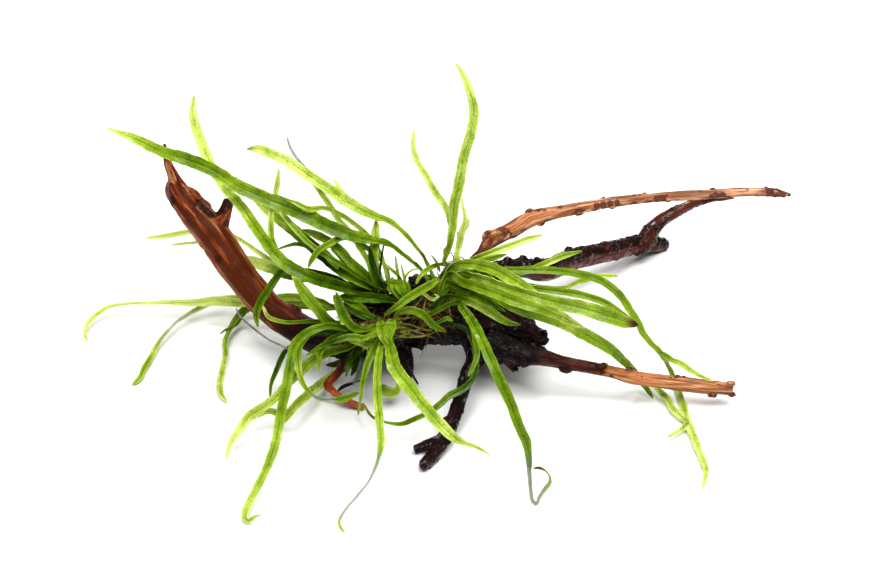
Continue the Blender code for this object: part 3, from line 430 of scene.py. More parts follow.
            (332, 191, 81, 4.4), (317, 181, 84, 4.2), (301, 170, 87, 4.2), (287, 161, 89, 4.2),
            (272, 154, 91, 4), (258, 149, 92, 3.4), (247, 149, 92, 0.8),
        ], [(352, 205, 76.5, 2), (343, 194, 80, 2), (334, 179, 85, 0.6)]],
        "frond_right_07": [[
            (455, 275, 48, 2), (478, 277, 55, 3.2), (505, 287, 59, 4), (540, 298, 60, 4.6),
            (563, 304, 59, 5.2), (586, 309, 57, 5.8), (609, 316, 54, 6), (626, 322, 51, 5),
            (638, 325, 49, 3),
        ]],
        "frond_right_06": [[
            (450, 268, 50, 2), (465, 264, 57, 3.8), (487, 267, 61, 4.6), (505, 275, 62, 4.8),
            (522, 286, 61, 4.8), (535, 297, 58, 4.6), (548, 308, 54, 4.4), (565, 318, 49, 3.8),
            (585, 328, 44, 0.8),
        ]],
        "frond_right_08": [[
            (462, 274, 46, 1.6), (500, 284, 50, 2), (540, 289, 51, 2.4), (557, 291, 51, 2.6),
            (572, 293, 50, 2.8), (586, 296, 49, 2.8), (599, 300, 47, 2.8), (611, 306, 45, 2.4),
            (623, 314, 42, 2), (632, 320, 40, 0.8),
        ]],
        "frond_right_09": [[
            (472, 276, 44, 1.6), (510, 281, 48, 2), (545, 288, 48, 2), (565, 288, 48, 2), (578, 282, 49, 2),
            (592, 278, 49, 2.4), (604, 276, 49, 2), (618, 276, 48, 0.6),
        ]],
        "frond_right_10": [[
            (462, 267, 50, 1.6), (490, 270, 56, 2.4), (520, 270, 58, 2.8), (540, 270, 58, 3),
            (557, 271, 58, 3), (574, 273, 57, 3), (588, 276, 55, 3.2), (602, 281, 53, 3.2),
            (613, 289, 50, 3.2), (623, 299, 45, 3.2), (630, 310, 41, 3.2), (638, 322, 36, 3),
            (643, 333, 31, 2.8), (651, 343, 27, 2.4), (659, 351, 24, 2.4), (664, 358, 18, 2),
            (669, 367, 8, 1.8), (674, 377, 3.2, 2), (679, 391, 2.4, 2.2), (683, 404, 2.4, 2.6),
            (687, 418, 2.4, 2.8), (692, 432, 2.4, 3.2), (697, 445, 2.2, 3.2), (702, 458, 2, 2.8),
            (706, 470, 1.8, 2.4), (705, 479, 1.6, 1.6), (702, 488, 1.4, 0.6),
        ], [
            (661, 353, 23, 1.8), (670, 359, 21.5, 2), (681, 363.5, 19.5, 2.4), (690, 370, 17.5, 2.2),
            (701, 376, 15.5, 1.6), (713, 381, 13.5, 0.6),
        ], [
            (688, 424, 2.4, 2), (681, 416, 3, 2.6), (674, 410, 3, 2.6), (668, 400, 3, 2.6),
            (660, 391, 3, 2.4), (654, 384, 3.2, 1.8), (650, 379, 3.4, 0.8),
        ], [(689, 423, 2.6, 1.4), (684, 427, 2.8, 1.9), (677, 432, 2.9, 1.6), (668, 437, 3, 0.5)]],
        "frond_right_11": [[
            (466, 266, 47, 1.6), (488, 271, 50, 2), (512, 275, 51, 2.4), (529, 270, 52, 2.4),
            (547, 263, 53, 2.4), (563, 256, 53, 2.4), (582, 251, 53, 0.6),
        ]],
        "frond_right_12": [[
            (444, 262, 48, 1.4), (448, 249, 54, 2.2), (451, 236, 60, 3), (453, 222, 66, 3.4),
            (454, 206, 73, 4), (458, 189, 80, 4.2), (461, 173, 87, 4.2), (464, 156, 94, 4),
            (469, 140, 101, 4), (473, 123, 108, 4), (474, 110, 113, 4), (470, 93, 120, 3.2),
            (463, 76, 126, 2.4), (456, 63, 131, 0.8),
        ], [
            (452, 226, 64, 2), (446, 208, 71, 2.6), (435, 192, 77, 2.8), (425, 174, 84, 2.6),
            (416, 158, 90, 2.4), (413, 146, 95, 2), (414, 129, 101, 0.6),
        ]],
        "frond_right_13": [[
            (457, 257, 47, 2), (459, 245, 51, 2.6), (462, 233, 56, 2.8), (465, 223, 60, 2.4),
            (464.6, 213.8, 63.5, 1.4), (462.5, 204, 67, 1.2), (462, 198, 69, 0.5),
        ], [
            (463.5, 229, 57.5, 1.8), (466.5, 224.5, 59.5, 1.6), (469.2, 219.6, 61.5, 0.5),
        ], [(461.4, 240, 53, 1.4), (459.4, 236, 54.5, 1.4), (457.4, 232, 56, 0.5)]],
        "frond_right_14": [[
            (469, 261, 47, 1.6), (480, 257, 50, 2.4), (496, 251, 53, 2.8), (512, 245, 55, 2.8),
            (528, 239, 57, 2.4), (543, 235, 58, 0.8),
        ]],
    },
}


# The smallest leaves and shoots: how bright each is, and its route. The brightness is partly their own
# colour and partly painted light and shade; the darkest fill the shaded middle of the clump
SHOOTS = {
    "shoots_left": [
        ((0.2, 0.25, 0.3), [
            (300, 345, 21, 1.2), (288, 348, 19, 1.1), (280, 345, 17, 0.8), (269, 340, 15, 0.7),
            (258, 332, 13, 0.7), (248, 324, 11, 0.7), (240, 316, 9.5, 0.6), (236, 308, 9, 0.4),
        ]),
        ((0.2, 0.3, 0.45), [
            (300, 345, 20, 1.2), (288, 348, 18, 1.6), (282, 357, 15, 2), (277, 369, 12, 2),
            (272, 381, 9, 1.6), (270, 397, 6, 0.6),
        ]),
        ((0.3, 0.4, 0.5), [
            (340, 268, 50, 1.2), (318, 252, 55, 1.6), (297, 244, 58, 1.6), (278, 249, 58, 0.6),
        ]),
        ((1, 1.05, 1.1), [
            (222, 235, 34, 0.6), (212, 238, 33.5, 0.9), (198, 242, 33, 1.1), (184, 243.5, 32, 1),
            (171, 245, 31, 0.5),
        ]),
        ((0.4, 0.5, 0.6), [(245, 312, 8, 1), (233, 327, 6, 1), (227, 329, 5, 0.9), (220, 334, 4, 0.5)]),
        ((0.15, 0.2, 0.3), [
            (392, 290, 40, 1), (380, 278, 47, 1), (381, 262, 54, 0.9), (384, 243, 60, 0.5),
        ]),
        ((0.15, 0.2, 0.2), [
            (386, 290, 42, 1.6), (378, 280, 49, 2.4), (372, 262, 56, 2.6), (369, 246, 62, 1.2),
        ]),
        ((0.5, 0.7, 0.8), [
            (402, 284, 42, 0.8), (400, 278, 45, 1.1), (392, 270, 49, 1.2), (384, 263, 52, 0.6),
        ]),
        ((0.5, 0.75, 0.85), [
            (378, 289, 42, 1.8), (374, 276, 48, 2.8), (368, 260, 55, 2.6), (356, 246, 61, 0.7),
        ]),
        ((0.35, 0.6, 0.7), [
            (378, 287, 43, 2.4), (362, 272, 50, 3.6), (350, 262, 54, 3.8), (340, 250, 58, 3.6),
            (328, 241, 61, 3.4), (314, 234, 63, 3), (301, 230, 64, 0.8),
        ]),
        ((0.4, 0.7, 0.85), [
            (376, 288, 41, 2.4), (357, 281, 46, 3.6), (345, 270, 50, 3.8), (334, 262, 53, 3.4),
            (326, 253, 55, 2.6), (321, 246, 57, 0.8),
        ]),
        ((0.3, 0.35, 0.5), [
            (400, 303, 35, 0.8), (388, 300, 37, 2.4), (372, 298, 39, 4), (354, 297, 40, 4.2),
            (337, 297, 39, 0.9),
        ]),
        ((0.14, 0.24, 0.3), [
            (392, 325, 33, 0.8), (380, 322, 34, 1.6), (369, 318.5, 35, 2.4), (357, 313, 36, 2.6),
            (346, 307, 36, 0.8),
        ]),
        ((0.2, 0.44, 0.6), [
            (392, 322, 33, 0.8), (378, 319, 35, 1.6), (369, 315.5, 36, 2.6), (361, 308, 37, 3.2),
            (352, 302.5, 38, 3), (337, 296, 38, 0.7),
        ]),
        ((0.35, 0.54, 0.66), [
            (392, 336, 33, 0.8), (376, 335, 35, 2.6), (360, 334.5, 37, 3.4), (349, 330, 38, 3.4),
            (343, 318, 39, 3.2), (338, 304, 40, 3), (333.6, 295, 40, 0.8),
        ]),
        ((0.15, 0.2, 0.3), [
            (390, 300, 34, 0.8), (379, 296, 37, 2.2), (364, 290, 40, 3.6), (346, 286, 42, 3.4),
            (330, 284, 42, 0.9),
        ]),
    ],
    "shoots_front": [
        ((0.26, 0.34, 0.4), [
            (362, 342, 27, 1.4), (355, 352, 25, 1.8), (349, 364, 22, 1.6), (346, 377, 19, 0.7),
        ]),
        ((0.1, 0.15, 0.2), [
            (366, 348, 24, 1.4), (362, 362, 21, 2), (358, 376, 17, 2.2), (353, 385, 14, 0.8),
        ]),
        ((0.2, 0.28, 0.34), [
            (356, 350, 22, 1), (345, 360, 13, 2.2), (336, 364, 10, 2.6), (326, 365, 9, 1.6),
        ]),
        ((0.24, 0.32, 0.36), [
            (366, 342, 24, 1), (358, 350, 21, 3.2), (350, 361, 17, 3.6), (344, 372, 14, 0.9),
        ]),
        ((0.1, 0.16, 0.2), [
            (369, 346, 23, 1), (363, 356, 19, 3), (357, 366, 16, 3.2), (351, 376, 13, 0.9),
        ]),
        ((0.2, 0.2, 0.25), [
            (372, 345, 24, 1), (369, 357, 20, 2.4), (364, 368, 17, 2.4), (361, 378, 14, 0.8),
        ]),
        ((0.45, 0.5, 0.6), [
            (386, 336, 33, 0.8), (380, 340, 34, 2.4), (371, 343, 35, 4), (353, 338, 36, 4),
            (337, 337, 35, 0.9),
        ]),
        ((0.62, 0.6, 0.6), [
            (380, 321, 41, 2.8), (381.5, 328, 42.5, 4), (384, 337, 42.5, 4.2), (387, 347, 41, 1),
        ]),
        ((0.7, 0.62, 0.6), [
            (392, 319.5, 41, 2.8), (390.5, 327, 43, 4), (388.5, 336, 43.5, 4.2), (390, 347, 42, 1),
        ]),
        ((0.6, 0.74, 0.8), [
            (377, 331, 41.5, 1), (382, 326.5, 43.6, 2.4), (390, 325, 44, 2.4), (396, 327, 42, 1),
        ]),
        ((0.7, 0.75, 0.65), [
            (398, 326, 38, 2), (390, 327, 42, 3.4), (380, 331, 42, 3.4), (370, 338, 40, 0.9),
        ]),
        ((0.2, 0.5, 1), [
            (384, 352, 24, 0.6), (382, 366, 18, 0.8), (378, 378, 13, 1.4), (378, 386, 10, 3.2),
            (384, 390, 8, 4.4), (390, 393, 7, 4.6), (397, 390, 7.5, 3.6), (397, 383, 9, 2),
        ]),
    ],
    "shoots_right": [
        ((0.3, 0.6, 0.7), [
            (458, 268, 46, 1.4), (470, 264, 50, 1.8), (482, 261, 53, 2), (497, 257, 55, 2),
            (507, 254, 56, 0.7),
        ]),
        ((0.3, 0.6, 0.8), [
            (462, 270, 45, 1.2), (474, 270, 47, 1.6), (486, 266, 50, 1.8), (497, 263, 52, 0.7),
        ]),
        ((0.3, 0.42, 0.5), [
            (446, 282, 48, 1.8), (465, 290, 51, 3), (485, 300, 52, 3.6), (505, 311, 51, 0.8),
        ]),
        ((0.3, 0.6, 0.7), [
            (446, 264, 46, 1.2), (437, 265, 49, 1.8), (430, 268, 50, 2), (421, 275, 50, 1.8),
            (416, 284, 49, 0.7),
        ]),
        ((0.7, 0.85, 0.9), [(400, 284, 42, 0.9), (398, 274, 46, 1.2), (395, 256, 53, 0.5)]),
        ((0.5, 0.6, 0.7), [(445, 258, 50, 0.8), (446.5, 251, 52, 3), (450, 243, 55, 0.8)]),
        ((0.7, 0.85, 0.9), [(406, 284, 42, 0.9), (404, 276, 45, 1.1), (401, 264, 50, 0.5)]),
        ((0.7, 0.8, 0.9), [(440, 272, 43, 0.9), (437, 263, 47, 1.1), (431, 255, 51, 0.5)]),
        ((0.7, 0.8, 0.9), [
            (404, 284, 43, 0.8), (406, 276, 46, 0.8), (412, 270, 48, 0.8), (419, 269, 48, 0.5),
        ]),
        ((0.8, 0.85, 0.9), [
            (420, 292, 41, 1), (427, 296, 42, 1.4), (433, 300, 42, 1.6), (438, 297, 42, 1.2),
            (434, 294, 42, 0.6),
        ]),
        ((0.3, 0.4, 0.5), [
            (432, 323, 39, 0.9), (440, 322, 40, 1.3), (447, 318, 40, 1.7), (453, 321, 39, 0.8),
        ]),
        ((0.5, 0.6, 0.7), [
            (441, 274, 45, 0.8), (449, 270, 47, 2.2), (462, 268, 51, 3.4), (478, 272, 53, 3.6),
            (496, 280, 53, 0.9),
        ]),
        ((0.45, 0.55, 0.6), [
            (439, 276, 44, 0.8), (447, 274, 46, 2.2), (462, 278, 50, 3.8), (480, 284, 52, 4),
            (500, 294, 52, 0.9),
        ]),
        ((0.3, 0.4, 0.5), [
            (440, 280, 41, 0.8), (448, 284, 42, 2.2), (462, 292, 45, 3.6), (478, 300, 45, 3.4),
            (492, 308, 44, 0.9),
        ]),
        ((0.45, 0.56, 0.66), [
            (411, 299, 40, 1.4), (403, 292, 43, 3.4), (396, 283, 45, 3.6), (390, 287, 43, 2.4),
            (393, 294, 41, 1),
        ]),
        ((0.3, 0.5, 0.7), [
            (404, 304, 40, 1.2), (399, 294, 42, 3.6), (394, 285, 44, 3.4), (392, 277, 45, 0.9),
        ]),
        ((0.3, 0.46, 0.6), [
            (398, 306, 40, 1.2), (405, 297, 42, 3.4), (407, 287, 44, 2.8), (403, 280, 44.5, 0.9),
        ]),
    ],
}

# Bare rootlets: the diameters are in millimetres
ROOTLETS = [
    [(338, 391, 4, 0.7), (341, 388, 5, 1.5), (347, 385, 6, 1.5), (354, 383, 7, 1), (361, 380, 9, 0.6)],
    [(402, 356, 10, 1.4), (408, 365, 7, 1.1), (412, 374, 4.5, 1), (418, 384, 2, 0.7)],
    [(400, 352, 10, 1.4), (404, 361, 7, 1.1), (406, 369, 4.5, 1), (410, 376, 2.4, 0.7)],
]

# Bare stalks of old fronds, which hang over the hub
OLD_STALKS = [
    [
        (394, 326, 37, 0.78), (402, 324, 39, 0.7), (411, 325, 40, 0.7), (421, 329, 40, 0.7),
        (432, 331, 38, 0.47),
    ],
    [
        (392, 334, 36, 0.78), (402, 337, 38, 0.7), (415, 337, 39, 0.7), (428, 335, 39, 0.62),
        (437, 331, 38, 0.4),
    ],
    [(396, 322, 37, 0.78), (404, 319, 41, 0.62), (416, 317, 42, 0.62), (428, 321, 41, 0.4)],
    [(392, 330, 36, 0.7), (406, 331, 38, 0.62), (420, 333, 38, 0.62), (434, 338, 35, 0.4)],
    [(394, 328, 38, 0.86), (404, 328, 40, 0.86), (414, 331, 40, 0.78), (424, 334, 39, 0.47)],
    [(393, 338, 35, 0.86), (404, 335, 38, 0.86), (414, 331, 39.5, 0.78), (424, 328, 39, 0.47)],
    [(396, 331, 37, 0.78), (408, 334, 38.5, 0.78), (420, 337, 38, 0.7), (430, 334, 37, 0.4)],
    [(424, 296, 40, 0.7), (418, 303, 41, 0.62), (410, 313, 40, 0.62), (404, 320, 38, 0.4)],
    [(426, 300, 40, 0.7), (424, 310, 41, 0.62), (427, 322, 39, 0.62), (433, 333, 36, 0.4)],
    [(436, 290, 41, 0.7), (446, 300, 41, 0.62), (450, 313, 39, 0.62), (449, 326, 36, 0.4)],
]

# Blades
COLUMNS = np.array((-1.0, -0.92, -0.66, -0.36, -0.11, 0.0, 0.11, 0.36, 0.66, 0.92, 1.0))
BLADE_STEP = 1.2 * MM
LOBE_BEHIND = 0.1 * MM
SHOOT_STALK = 0.3
ROUND_TIP = (0.15 * MM, 2.4)
ROUND_BASE = (0.2 * MM, 1.4)
FOLDS = (0.1, 0.5)
FOLD_CURVE = 1.3
WAVE_CURVE = 1.5
NOTCH_CURVE = 3
STEEPEST_WAVE = 0.45
DEEPEST_GROOVE = 0.3
BROWN_EDGE = 0.03
SHEEN_EDGE = 0.04
WAVE_LENGTH = 4.5 * MM
NOTCH_LENGTH = 3 * MM
NOTCH_DEPTH = 0.16
GROOVE_WIDTH = 0.13
BLOTCH_LENGTH = 9 * MM
BLOTCH_DEPTH = 0.12
BRIGHTEST = 1.1
FAINT_MOTTLE = 0.25
SHARP_ANGLE = math.radians(50)

# A share of a blade's length past its tip
NEVER = 2.0

# How each limb is finished: the size of its skin's cells, how often it is smoothed, how strong its facets,
# ridges, bark, streaks, stains and long cracks are, how wet it is, whether its bark is left only on top,
# its colours from base to tip, and the colour of its palest streaks and where along it they begin
WOOD_LOOKS = {
    "wood_hub": {
        "skin": 0.45, "smooth": 2, "facets": 1.0, "ridges": 0.9, "bark": 0.5, "bark_rise": 1.2,
        "streaky": 0.4, "stained": 0.5, "cracked": 0.4, "wet": 1.1, "slot": "dark_wood",
        "bark_on_top": False, "bark_tone": (20, 12, 9),
        "tones": [(0.0, (44, 20, 12)), (0.3, (28, 14, 9)), (0.7, (40, 19, 13)), (1.0, (42, 20, 14))],
    },
    "wood_left_branch": {
        "skin": 0.42, "smooth": 16, "facets": 1.1, "ridges": 0.2, "bark": 0.0, "bark_rise": 0.4,
        "streaky": 0.9, "stained": 1.1, "cracked": 0.4, "wet": 0.14, "slot": "red_wood",
        "bark_on_top": False, "bark_tone": (30, 12, 12),
        "tones": [(0.0, (18, 9, 6)), (0.17, (32, 12, 5)), (0.28, (116, 44, 2)), (0.5, (138, 59, 8)),
                  (0.75, (130, 51, 7)), (0.93, (110, 40, 8)), (1.0, (30, 14, 8))],
        "pale": (206, 148, 102), "pale_from": 0.24,
    },
    "wood_upper_right_branch": {
        "skin": 0.32, "smooth": 5, "facets": 0.7, "ridges": 0.3, "bark": 0.14, "bark_rise": 0.4,
        "streaky": 0.85, "stained": 0.85, "cracked": 0.5, "wet": 0.6, "slot": "tan_wood",
        "bark_on_top": False, "bark_tone": (92, 46, 38),
        "tones": [(0.0, (30, 14, 6)), (0.1, (84, 38, 16)), (0.2, (164, 90, 42)), (0.5, (190, 119, 80)),
                  (0.9, (188, 122, 92)), (0.935, (112, 61, 50)), (1.0, (82, 44, 36))],
        "pale": (252, 200, 150), "pale_from": 0.1,
    },
    "wood_middle_right_branch": {
        "skin": 0.36, "smooth": 4, "facets": 0.9, "ridges": 0.35, "bark": 0.95, "bark_rise": 0.8,
        "streaky": 0.5, "stained": 0.6, "cracked": 0.3, "wet": 2.6, "slot": "dark_wood",
        "bark_on_top": True, "bark_tone": (26, 16, 16),
        "tones": [(0.0, (26, 12, 8)), (0.35, (76, 27, 15)), (0.8, (92, 34, 20)), (1.0, (56, 25, 17))],
    },
    "wood_middle_right_twig": {
        "skin": 0.26, "smooth": 5, "facets": 0.5, "ridges": 0.25, "bark": 0.15, "bark_rise": 0.5,
        "streaky": 0.5, "stained": 0.6, "cracked": 0.3, "wet": 2.2, "slot": "dark_wood",
        "bark_on_top": False, "bark_tone": (38, 20, 18),
        "tones": [(0.0, (58, 25, 16)), (0.5, (92, 43, 26)), (1.0, (114, 64, 42))],
    },
    "wood_lower_right_branch": {
        "skin": 0.32, "smooth": 5, "facets": 0.7, "ridges": 0.45, "bark": 0.08, "bark_rise": 0.7,
        "streaky": 0.7, "stained": 0.45, "cracked": 1.0, "wet": 0.7, "slot": "tan_wood",
        "bark_on_top": True, "bark_tone": (46, 21, 15),
        "tones": [(0.0, (20, 12, 9)), (0.2, (28, 14, 10)), (0.27, (72, 30, 19)), (0.45, (92, 40, 22)),
                  (0.5, (160, 87, 43)), (0.6, (188, 116, 70)), (0.97, (184, 114, 72)), (1.0, (140, 82, 52))],
        "pale": (242, 182, 134), "pale_from": 0.46,
    },
    "wood_front_leg": {
        "skin": 0.34, "smooth": 3, "facets": 1.2, "ridges": 0.6, "bark": 0.3, "bark_rise": 0.6,
        "streaky": 0.4, "stained": 0.7, "cracked": 0.4, "wet": 2.4, "slot": "dark_wood",
        "bark_on_top": False, "bark_tone": (20, 12, 11),
        "tones": [(0.0, (20, 10, 9)), (0.5, (36, 15, 15)), (1.0, (42, 18, 17))],
    },
    "wood_red_twig": {
        "skin": 0.26, "smooth": 6, "facets": 0.5, "ridges": 0.25, "bark": 0.0, "bark_rise": 0.4,
        "streaky": 0.5, "stained": 0.3, "cracked": 0.2, "wet": 0.8, "slot": "red_wood",
        "bark_on_top": False, "bark_tone": (70, 26, 12),
        # The bright orange band near 0.66 is a painted highlight over the twig's orange, at its bend.
        "tones": [(0.0, (30, 12, 8)), (0.25, (66, 20, 10)), (0.45, (88, 29, 12)), (0.56, (136, 58, 15)),
                  (0.66, (202, 92, 28)), (0.78, (144, 66, 42)), (1.0, (166, 88, 58))],
    },
}

# How much lighter its streaks are, and how much darker its stains, fibres, pits, cracks and the painted
# shade in its hollows, than a limb's own colours
LIGHT_GAIN = 1.8
LIGHT_LIFT = 0.01
DARK_GAIN = 0.3
PALE_SHARE = 0.75

# Limbs that end in a cut or a break: how far its middle stands out, as a share of the radius
CUT_ENDS = {"wood_lower_right_branch": 0.15, "wood_front_leg": 0.2, "wood_left_branch": 0.2}

# Knobs, knots and swellings seen on the wood: (column, row, size in millimetres, how dark)
KNOB_SUNK = 0.14
SMALL_KNOB = 4.2 * MM
KNOB_LUMPS = 0.45
KNOB_CELLS = 2.2
KNOB_STRETCH = 0.45
KNOBS = {
    "wood_left_branch": [
        (177, 195, 8.6, 0), (190, 203, 9.5, 0), (200, 205, 6.4, 0.7), (206, 212, 6, 0.5),
        (297, 307, 4, 0.6),
    ],
    "wood_upper_right_branch": [
        (488, 236, 4, 1), (502, 232, 4.1, 1), (529, 213, 2.8, 1), (541, 223, 2.6, 1), (580, 215, 2.2, 1),
        (603, 197, 2, 0.9), (613, 210, 2, 0.9), (560, 208, 2, 0.7), (644, 194.5, 1.6, 0.7),
        (668, 200, 1.6, 0.7), (712, 188, 1.8, 1), (766, 188.5, 1.8, 1), (700, 192, 1.2, 1),
        (776, 193, 3.4, 0.9), (783, 194.4, 2.6, 0.9),
    ],
    "wood_middle_right_branch": [
        (508, 262, 4, 1), (522, 259, 3.6, 1), (538, 262, 3.2, 1), (568, 249, 3.4, 1), (585, 251, 2.4, 1),
        (602, 248, 2.2, 1), (622, 243, 2.2, 1), (616, 258, 2.2, 0.3), (648, 238, 4, 0.9),
    ],
    "wood_middle_right_twig": [
        (647, 229, 3.4, 1), (667, 219, 2.6, 0.8), (652, 242, 4.2, 0.5), (676, 207, 2, 0.5),
    ],
    "wood_lower_right_branch": [
        (563, 378, 3.6, 1), (605, 363, 2, 0.8), (524, 362, 3.6, 1), (713, 395, 3, 1), (731, 384, 2.4, 0.2),
        (732, 395, 2.2, 0.4),
    ],
    "wood_front_leg": [
        (470, 366, 3, 0.5), (457, 398, 2.8, 0.4), (446, 420, 2.8, 0.5), (434, 446, 3.6, 0.5),
        (425, 463, 3.6, 0.4),
    ],
    "wood_red_twig": [(327, 386, 2.6, 0.2), (346, 358, 2, 0.3), (345, 401, 2, 0.3)],
    "wood_hub": [
        (505, 356, 10, 0.5), (520, 354, 8, 0.5), (490, 345, 12, 0.5), (512, 342, 11, 0.5),
        (530, 328, 5, 0.5), (541, 333, 4, 0.5), (485, 312, 5, 0.5), (501, 309, 4.6, 0.5),
        (462, 298, 6, 0.5), (420, 340, 6, 0.5), (450, 334, 6, 0.5), (372, 348, 6, 0.5), (414, 281, 5, 0),
    ],
}

# Dark patches on the wood, (column, row, size in millimetres, how dark): stains and dark knots, and painted
# shade along the shaded edges of some limbs
STAINS_AND_EDGE_SHADE = {
    "wood_left_branch": [
        (197, 204, 3.6, 0.7), (201, 208, 3.4, 0.7), (205, 212, 3.6, 0.7), (210, 216, 4, 0.7),
        (221, 226, 7, 0.8), (226, 205, 6, 0.9), (221, 213, 6, 0.8), (216, 221, 5, 0.7), (228, 262, 7, 0.5),
        (179, 206, 6.5, 0.5), (238, 284, 8, 0.42), (262, 322, 8, 0.5), (213, 245, 6, 0.6),
        (226, 272, 5, 0.55), (173, 201, 4, 0.6), (219, 259, 4, 0.5), (190, 222, 4, 0.4),
    ],
    "wood_upper_right_branch": [
        (522, 236, 5, 0.7), (546, 224, 4.4, 0.7), (575, 216, 4, 0.7), (597, 206, 3, 0.8),
        (603, 205, 3, 0.8), (610, 203.5, 2.8, 0.8), (617, 202.5, 2.6, 0.7), (594, 212, 3.6, 0.7),
        (606, 211, 3.6, 0.7), (620, 209, 3.6, 0.7), (634, 206, 3.6, 0.7), (648, 204.5, 3.6, 0.7),
        (664, 202, 3, 0.6), (500, 246, 6, 0.7), (480, 252, 5, 0.6), (553, 213, 2.4, 0.4),
        (568, 204, 2.4, 0.5), (486, 244, 3, 0.4), (690, 199, 2.4, 0.5), (725, 197, 2.4, 0.5),
        (747, 190, 1.6, 0.5), (770, 192, 4, 0.7), (780, 193, 4, 0.7), (545, 211, 2.4, 0.6),
        (562, 205.5, 2.2, 0.5), (584, 200.5, 2, 0.6), (598, 198.5, 2.2, 0.6), (612, 197, 2, 0.6),
        (628, 195.5, 1.8, 0.5), (652, 192.5, 1.8, 0.5), (672, 190.5, 1.8, 0.5), (694, 189, 1.8, 0.5),
        (716, 188, 1.8, 0.5), (738, 187.5, 1.8, 0.5), (678, 201, 2.2, 0.7), (702, 198.6, 2, 0.6),
        (714, 198, 2, 0.6), (740, 196.6, 2, 0.6), (756, 196.2, 2, 0.6),
    ],
    "wood_lower_right_branch": [
        (563, 378, 5.6, 0.9), (592, 366, 4, 0.6), (602, 371, 2.6, 0.6), (612, 376, 2.4, 0.6),
        (731, 394, 2.6, 0.6), (729, 382, 2.4, 0.5),
    ],
    "wood_middle_right_twig": [(657, 233, 4, 0.5), (671, 210, 3, 0.6), (690, 201, 2.4, 0.5)],
    "wood_red_twig": [(331, 390, 2.4, 0.5), (350, 352, 3, 0.4)],
}

# Torn spurs that end the hub towards the right
SPURS = [
    [(505, 320, 25, 5), (507, 312, 26, 3), (505, 305, 27, 0.8)],
    [(512, 326, 23, 5), (522, 321, 23, 3), (531, 319.5, 23, 0.8)],
    [(518, 330, 21, 6), (532, 329, 20, 4), (544, 333, 19, 1.6)],
    [(520, 337, 19, 6), (534, 338, 18, 4), (545, 343, 17, 1.6)],
    [(518, 343, 18, 6), (534, 347, 17, 3), (547, 350, 16, 0.8)],
    [(504, 350, 17, 7), (509, 360, 14, 5), (514, 369, 11, 2.4)],
    [(522, 350, 17, 6), (533, 357, 15, 4), (540, 362, 13, 1.4)],
    [(498, 314, 26, 5), (500, 307, 27, 3), (497, 303, 28, 1)],
]

# Shards of bark and broken rootlets on the hub's skin: each ring's place along them and its thickness
SHARD_COUNT = 90
SHARD_SIDES = 6
SHARD_SEAT = 0.82
SHARD_LENGTHS = (1.6 * MM, 4.6 * MM)
SHARD_SIZES = (0.9 * MM, 2.4 * MM)
SHARD_LEAN = 1.4
SHARD_BEND = (0.25, 0.25, 0.25)
SHARD_FLATNESS = (0.4, 0.9)
SHARD_SHAPE = ((-0.3, 1.2), (0.1, 1.0), (0.5, 0.75), (0.8, 0.5), (1.0, 0.2))

# Fine roots, which grip these limbs: how many leave each rhizome, how many thick ones carry it, how long
# those may be and how deep they end, and how the fine ones slant, wander, drop and lie on the wood
ROOTED_LIMBS = ("wood_hub", "wood_left_branch")
ROOT_COUNTS = {"rhizome_front": 50, "rhizome_rear": 34, "rhizome_right": 96}
HOLD_COUNTS = {"rhizome_front": 46, "rhizome_rear": 40, "rhizome_right": 84}
HOLD_REACH = 16 * MM
HOLD_DEPTH = 0.6 * MM
HOLD_SPREAD = 1.2 * MM
HOLD_SEAT = 0.45
HOLD_BOW = (0.16, 0.16, 0.1)
HOLD_SIZES = (0.7 * MM, 1.7 * MM)
ROOT_SEED = 23
ROOT_RINGS = 9
ROOT_SIDES = 5
ROOT_TAPER = 0.35
ROOT_LENGTHS = (0.35, 1.0)
ROOT_SIZES = (0.5, 1.0)
ROOT_SLANT = 0.8
ROOT_WANDER = (0.35, 0.35, 0.3)
ROOT_LIFT = 0.3
LANDING_STEPS = 1.6
ROOT_LEAN = np.array((0, 0, -0.3))
ROOT_DROP = np.array((0, 0, -0.22))
